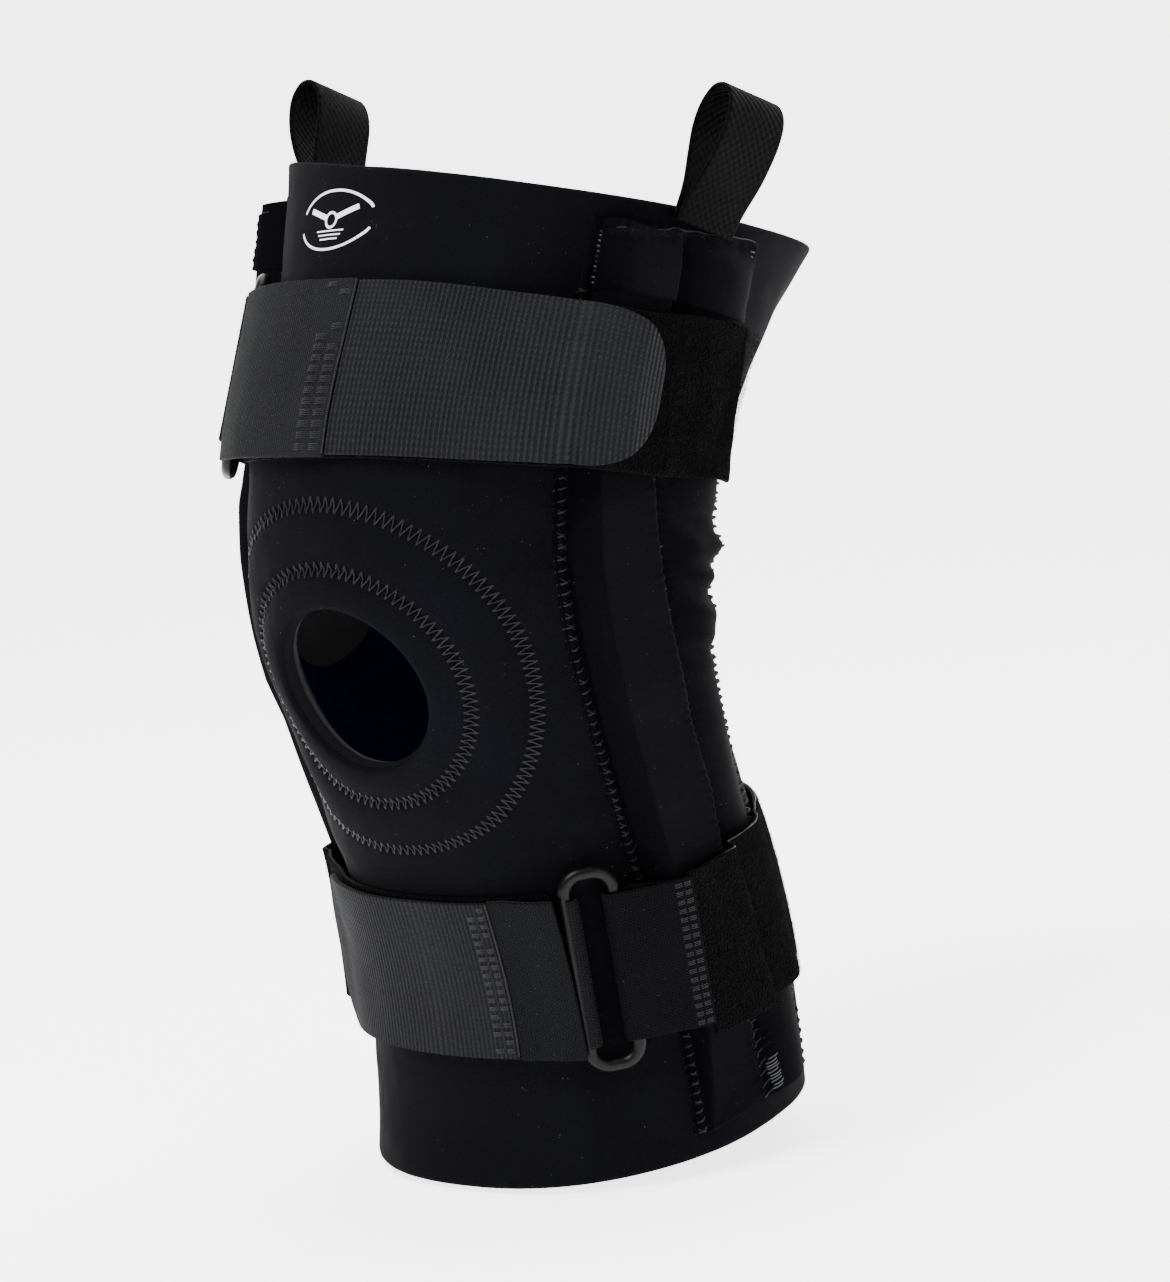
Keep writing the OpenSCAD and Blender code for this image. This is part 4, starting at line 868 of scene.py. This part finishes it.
o = strip3("upper strap fold", arc(7.5, 0, 3.3, 270, 90) , RING_TH - 6.2, 49.5, 4.8, 46, ST, [ELAS, EDGE, ELAS], "thigh", "elastic"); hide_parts("upper_strap_fold")
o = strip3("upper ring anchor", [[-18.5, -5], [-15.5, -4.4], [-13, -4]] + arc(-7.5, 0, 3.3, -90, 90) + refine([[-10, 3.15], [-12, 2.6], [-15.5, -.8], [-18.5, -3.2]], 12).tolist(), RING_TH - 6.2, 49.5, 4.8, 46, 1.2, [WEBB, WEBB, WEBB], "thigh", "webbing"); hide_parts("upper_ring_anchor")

# ---------------------------------------------------------------- lower strap
uu = ticks(0, 1, 38, (.3, .8, 1.4), 52.); vv = ticks(0, 1, 310, (.3, .8), 360.)
U_, V_ = np.meshgrid(uu, vv, indexing='ij'); TH = mix(76.8 + 2.2*U_, 401, V_); S = wrap_mid(TH) + mix(-CALF, CALF, U_)
pilek = ease((TH - 88)/5)*ease((300 - TH)/20)
lift = mix(11.6 + 2.*U_, wrap_lift(TH) + pilek*(.25*wob(TH*.25, S*.2, 41)), ease((TH - 78)/13))
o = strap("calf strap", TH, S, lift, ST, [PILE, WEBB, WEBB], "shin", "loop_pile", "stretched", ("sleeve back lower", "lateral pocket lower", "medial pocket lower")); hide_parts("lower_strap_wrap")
vv = ticks(0, 1, 30, (.3, .8), 22.); U_, V_ = np.meshgrid(uu, vv, indexing='ij'); TH = mix(22.5, 42, V_); S = wrap_mid(TH) + mix(-CALF, CALF, U_)
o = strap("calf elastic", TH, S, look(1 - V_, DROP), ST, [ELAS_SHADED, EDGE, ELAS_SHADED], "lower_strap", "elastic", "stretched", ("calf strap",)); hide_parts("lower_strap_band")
def calf_tab_end(u): return -45 - 14*np.sqrt(np.maximum(0, 1 - np.abs(2*u - 1)**2.6))
uu2 = ticks(0, 1, 56, (.08, .2, .45, .9, 1.5), 52.); vv = ticks(0, 1, 80, (.3, .8), 75.)
U_, V_ = np.meshgrid(uu2, vv, indexing='ij'); TH = mix(calf_tab_end(U_), 22.1, V_); S = wrap_mid(TH) + .98*mix(-CALF, CALF, U_)
UV = np.stack([(TH + 60)*1.05*.1, (S + 140)*.1], -1)
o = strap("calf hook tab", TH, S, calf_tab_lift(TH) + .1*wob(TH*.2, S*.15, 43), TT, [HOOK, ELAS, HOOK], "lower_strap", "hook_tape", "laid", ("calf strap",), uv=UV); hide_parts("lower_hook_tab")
s = np.linspace(-133.4, -83.2, 60); th = np.full(60, 22.3)
tubes("calf tab join", at(th, s, 5.0)[None], out(th, s)[None], .36*np.ones((1, 60)), BLACKT, "lower_strap")
tack_grid("calf tab tack", "lower_strap", 15.2, 21.6, -133., -84., 18, 2, lambda th, s: calf_tab_lift(th) + TT + .02, TACK, lambda t: .95)
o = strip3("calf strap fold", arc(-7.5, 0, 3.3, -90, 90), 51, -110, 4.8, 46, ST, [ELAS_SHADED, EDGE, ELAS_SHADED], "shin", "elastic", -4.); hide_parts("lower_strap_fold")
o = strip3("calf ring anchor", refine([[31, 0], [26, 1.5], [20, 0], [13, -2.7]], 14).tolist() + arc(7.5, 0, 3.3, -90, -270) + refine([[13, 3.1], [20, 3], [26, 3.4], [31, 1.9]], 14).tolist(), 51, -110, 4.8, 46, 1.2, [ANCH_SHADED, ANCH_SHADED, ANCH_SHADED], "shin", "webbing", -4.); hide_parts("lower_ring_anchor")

t, z, n_, o_ = stand(51, -110, 4.8); c_, q_ = math.cos(-4*R), math.sin(-4*R); t, z = t*c_ + z*q_, -t*q_ + z*c_
A, B = [], []
for i in range(17):
    for x0 in (25.4, 28.2):
        y0 = -21.5 + 43*i/16; h0 = np.interp(x0, [20, 26, 31], [3, 3.4, 1.9]) + .66; h1 = np.interp(x0 + 2.2, [20, 26, 31], [3, 3.4, 1.9]) + .66
        for q in (-.5, 0, .5): A.append(o_ + x0*t + (y0 + q)*z + h0*n_); B.append(o_ + (x0 + 2.2)*t + (y0 + q)*z + h1*n_)
A, B = np.array(A), np.array(B); w5 = np.linspace(0, 1, 5)[None, :, None]
tubes("anchor tack", mix(A[:, None], B[:, None], w5) + .15*np.sin(np.pi*w5)*n_, n_[None, None] + 0*A[:, None]*w5, .14, TACK, "shin")

# loops of pile standing on the two pile faces
def pile_hairs(name, n, th0, th1, sfun, top, zone, l0=.8, l1=1.9):
    th = rng.uniform(th0, th1, n); u = rng.uniform(.01, .99, n); s = sfun(th, u); N = out(th, s)
    hairs(name, at(th, s, top(th, s) - .1), N*.8, unit_rand(n, N), rng.uniform(l0, l1, n), FUZZP, zone, .075, .8, seg=3)
FUZZP = threads_mat("pile fibre", (.0016, .0016, .0018), .9, .01)
pile_hairs("upper pile", 11000, 70, 110, lambda th, u: mix(strap_low(th), strap_top(th), u), base_top, "thigh")
calf_top = lambda th, s: mix(12.6, wrap_lift(th), ease((th - 78)/13)) + ST
pile_hairs("calf pile", 16000, 80, 250, lambda th, u: wrap_mid(th) + mix(-CALF, CALF, u), calf_top, "shin")
# pale cut edge on top of the calf strap's pile end
th = np.linspace(92, 172, 150); s = wrap_mid(th) + CALF - .15
tubes("calf strap cut edge", at(th, s, wrap_lift(th) + ST*.6)[None], out(th, s)[None], .32*np.ones((1, 150)), THRD, "shin")
n = 500; th = rng.uniform(92, 260, n); s = wrap_mid(th) + CALF; N = out(th, s)
hairs("calf strap edge fibres", at(th, s, wrap_lift(th) + .9), stand(90, -90, 0)[1][None] + 0*N, unit_rand(n, N), rng.uniform(.8, 2.4, n), FUZZ, "shin", .055, .7)

# ---------------------------------------------------------------- pull loops
path = np.array([[.8, 0], [1, 6], [.9, 12], [-.4, 20], [-1.8, 29], [-1.2, 36], [1.6, 41], [6, 41.5], [9.6, 37], [10.4, 29], [8.6, 19], [5, 9.5], [3.3, 4], [2.9, 0]])
for side, nm in ((1, "lateral"), (-1, "medial")):
    t, z, n, o_ = stand(87, 103 if side > 0 else 113, .5)
    p = refine(path, 90)
    if side < 0: p[:, 0] += .55*gauss((p[:, 1] - 22)/12)*(p[:, 0] < 4)
    g = np.gradient(p, axis=0); g /= np.linalg.norm(g, axis=1, keepdims=True); nn = np.stack([g[:, 1], -g[:, 0]], 1)
    w = ticks(-12.5, 12.5, 20, (.25, .7), 25.); e = lip(np.minimum(w + 12.5, 12.5 - w), .7)[:, None]*np.ones((1, 90))
    def pts(k):
        q = p[None] + nn[None]*k[..., None]; sway = .25*np.sin(p[:, 1]*.16 + 1)[None, :, None]
        v = o_ + (w[:, None, None] + sway)*t + q[..., 1:]*z + q[..., :1]*n
        return v*np.array([side, 1, 1])
    u = np.concatenate([[0], np.cumsum(np.linalg.norm(np.diff(p, axis=0), axis=1))]); uv = np.stack(np.broadcast_arrays(u[None]*.1, w[:, None]*.1), -1)
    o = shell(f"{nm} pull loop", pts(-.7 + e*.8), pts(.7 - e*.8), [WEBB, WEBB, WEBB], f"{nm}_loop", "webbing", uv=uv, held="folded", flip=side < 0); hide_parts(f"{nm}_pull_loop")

# raw rim: fibres all round both rims
for nm, rim, zone, sg in (("top", top_rim, "thigh", 1.), ("bottom", bottom_rim, "shin", -1.)):
    n = 900; th = rng.uniform(0, 360, n); s = rim(th) - sg*.3; N = out(th, s); up = leg(th, s + sg) - leg(th, s); up /= np.linalg.norm(up, axis=1, keepdims=True)
    hairs(f"{nm} rim fibres", at(th, s, rng.uniform(-2.4, -.2, n)), up*.8, unit_rand(n, N), rng.uniform(.4, 1.5, n), FUZZ, zone, .045, .7)

# ---------------------------------------------------------------- plain printed mark: a hinge pictogram
def ribbon(name, pts, wd, closed=False):
    p = np.array(pts, float)
    g = (np.roll(p, -1, 0) - np.roll(p, 1, 0)) if closed else np.gradient(p, axis=0)
    g /= np.linalg.norm(g, axis=1, keepdims=True) + 1e-9; q = np.stack([-g[:, 1], g[:, 0]], 1)*wd/2
    a, b = p + q, p - q
    if closed: a, b = np.vstack([a, a[:1]]), np.vstack([b, b[:1]])
    def s3(v):
        th = -10.5 + v[:, 0]/1.25; s = 91.5 + v[:, 1]; return at(th, s, sleeve_d(th, s) + .05), th, s
    A = np.stack([s3(b)[0], s3(a)[0]]); B = A - out(-10.5, 91.5)*.09
    return shell(name, A, B, [PRINT, PRINT, PRINT], "thigh", "white_plastic", flip=False)
a = np.linspace(20, 160, 30)*R
ribbon("mark upper arc", np.stack([-15.5*np.cos(a), 9.2*np.sin(a)], 1)[::1], .8)
ribbon("mark lower arc", np.stack([15.5*np.cos(a), -9.2*np.sin(a)], 1)[::1], .8)
ribbon("mark left bar", np.stack([np.linspace(-10.5, -2.4, 12), np.linspace(3.6, .8, 12)], 1), 1.7)
ribbon("mark right bar", np.stack([np.linspace(2.4, 10.5, 12), np.linspace(.8, 3.6, 12)], 1), 1.7)
a = np.linspace(0, 2*np.pi, 29)[:-1]
ribbon("mark circle", np.stack([2.3*np.cos(-a), 2.3*np.sin(-a)], 1), .8, True)
for k in range(3): ribbon(f"mark line {k}", np.stack([np.linspace(-6 + k, 6 - k, 8), np.full(8, -3.4 - 1.3*k)], 1), .45)

# ---------------------------------------------------------------- the hard parts
SLOTM = dict(arm=(ALLOY, "alloy"), plate=(STEEL, "steel"), rivets=(RIVET, "rivet_steel"), washers=(WHITEP, "white_plastic"), stop=(BLACKP, "black_plastic"), tip=(BLACKP, "black_plastic"), ring=(RINGP, "ring_plastic"))
for name, o in frame["nodes"].items():
    if o.hide_render: continue
    key = name.split("_")[-1]
    m, sl = SLOTM.get(key, (BLACKP, "black_plastic"))
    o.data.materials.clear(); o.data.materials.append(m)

# ---------------------------------------------------------------- floor, light, camera
def area_light(name, loc, aim, size, power, col=(1, 1, 1)):
    l = bpy.data.lights.new(name, 'AREA'); l.shape = 'RECTANGLE'; l.size, l.size_y = size; l.energy = power; l.color = col
    o = bpy.data.objects.new(name, l); bpy.context.scene.collection.objects.link(o); o.location = loc
    d = Matrix.Identity(3); from mathutils import Vector
    o.rotation_euler = (Vector(aim) - Vector(loc)).to_track_quat('-Z', 'Y').to_euler(); return o


th0, e0, r0 = 40.1*R, 3.94*R, -1.76*R
sa, ca, se, ce = math.sin(th0), math.cos(th0), math.sin(e0), math.cos(e0)
back = np.array([sa*ce, -ca*ce, se]); right = np.array([ca, sa, 0]); up = np.cross(back, right)
Rr = right*math.cos(r0) + up*math.sin(r0); Uu = -right*math.sin(r0) + up*math.cos(r0)
T = np.array([0, 0, -22.18]) + right*31.79; C = T + back*1500
def tr(v, point=True):
    v = v - np.array([0, -12, -4.]) if point else v
    c, s_ = math.cos(5*R), math.sin(5*R); return np.array([v[0], v[1]*c + v[2]*s_, -v[1]*s_ + v[2]*c])
C2, R2, U2, B2 = tr(C)*.001, tr(Rr, False), tr(Uu, False), tr(back, False)
def from_cam(x, y, z):
    return tuple(float(v) for v in (np.array([R2, U2, B2]).T @ np.array([x, y, z])))
prof = [(-3.2, 0.)] + [(1.0 + 1.6*math.sin(a), 1.6*(1 - math.cos(a))) for a in np.linspace(0, math.pi/2, 24)] + [(2.6, 5.)]
h0_ = np.array([-back[0], -back[1]])/math.hypot(back[0], back[1]); g0_ = np.array([-h0_[1], h0_[0]])
vs, fs = [], []
for k, (d_, z_) in enumerate(prof):
    for q in (-7., 7.): vs.append((h0_[0]*d_ + g0_[0]*q, h0_[1]*d_ + g0_[1]*q, -.1825 + z_))
    if k: fs.append((2*k - 2, 2*k, 2*k + 1, 2*k - 1))
me = bpy.data.meshes.new("floor"); me.from_pydata(vs, [], fs); me.shade_smooth()
fl = bpy.data.objects.new("floor", me); bpy.context.scene.collection.objects.link(fl)
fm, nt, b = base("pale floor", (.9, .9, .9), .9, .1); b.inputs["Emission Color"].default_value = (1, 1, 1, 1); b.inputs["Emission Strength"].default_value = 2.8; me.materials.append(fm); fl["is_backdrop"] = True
w = bpy.data.worlds.new("studio") if not bpy.context.scene.world else bpy.context.scene.world
bpy.context.scene.world = w; w.use_nodes = True
bg = w.node_tree.nodes.get('Background') or w.node_tree.nodes.new('ShaderNodeBackground')
bg.inputs[0].default_value = (1, 1, 1, 1); bg.inputs[1].default_value = .4

cam = bpy.data.cameras.new("camera"); co = bpy.data.objects.new("camera", cam); bpy.context.scene.collection.objects.link(co)
cam.sensor_fit = 'AUTO'; cam.sensor_width = 36; cam.lens = 4920/1282*36
co.matrix_world = Matrix([[R2[0], U2[0], B2[0], C2[0]], [R2[1], U2[1], B2[1], C2[1]], [R2[2], U2[2], B2[2], C2[2]], [0, 0, 0, 1]])
bpy.context.scene.camera = co

area_light("key", from_cam(-.75, 1.05, .95), (0, 0, 0), (.75, .75), 52)
area_light("fill", from_cam(.9, .25, 1.2), (0, 0, 0), (.7, 1.), 9)
area_light("top", from_cam(-.1, 1.35, -.05), (0, 0, 0), (.9, .9), 22)
area_light("rim", from_cam(1.1, .8, -.5), (0, 0, 0), (.5, .8), 6)

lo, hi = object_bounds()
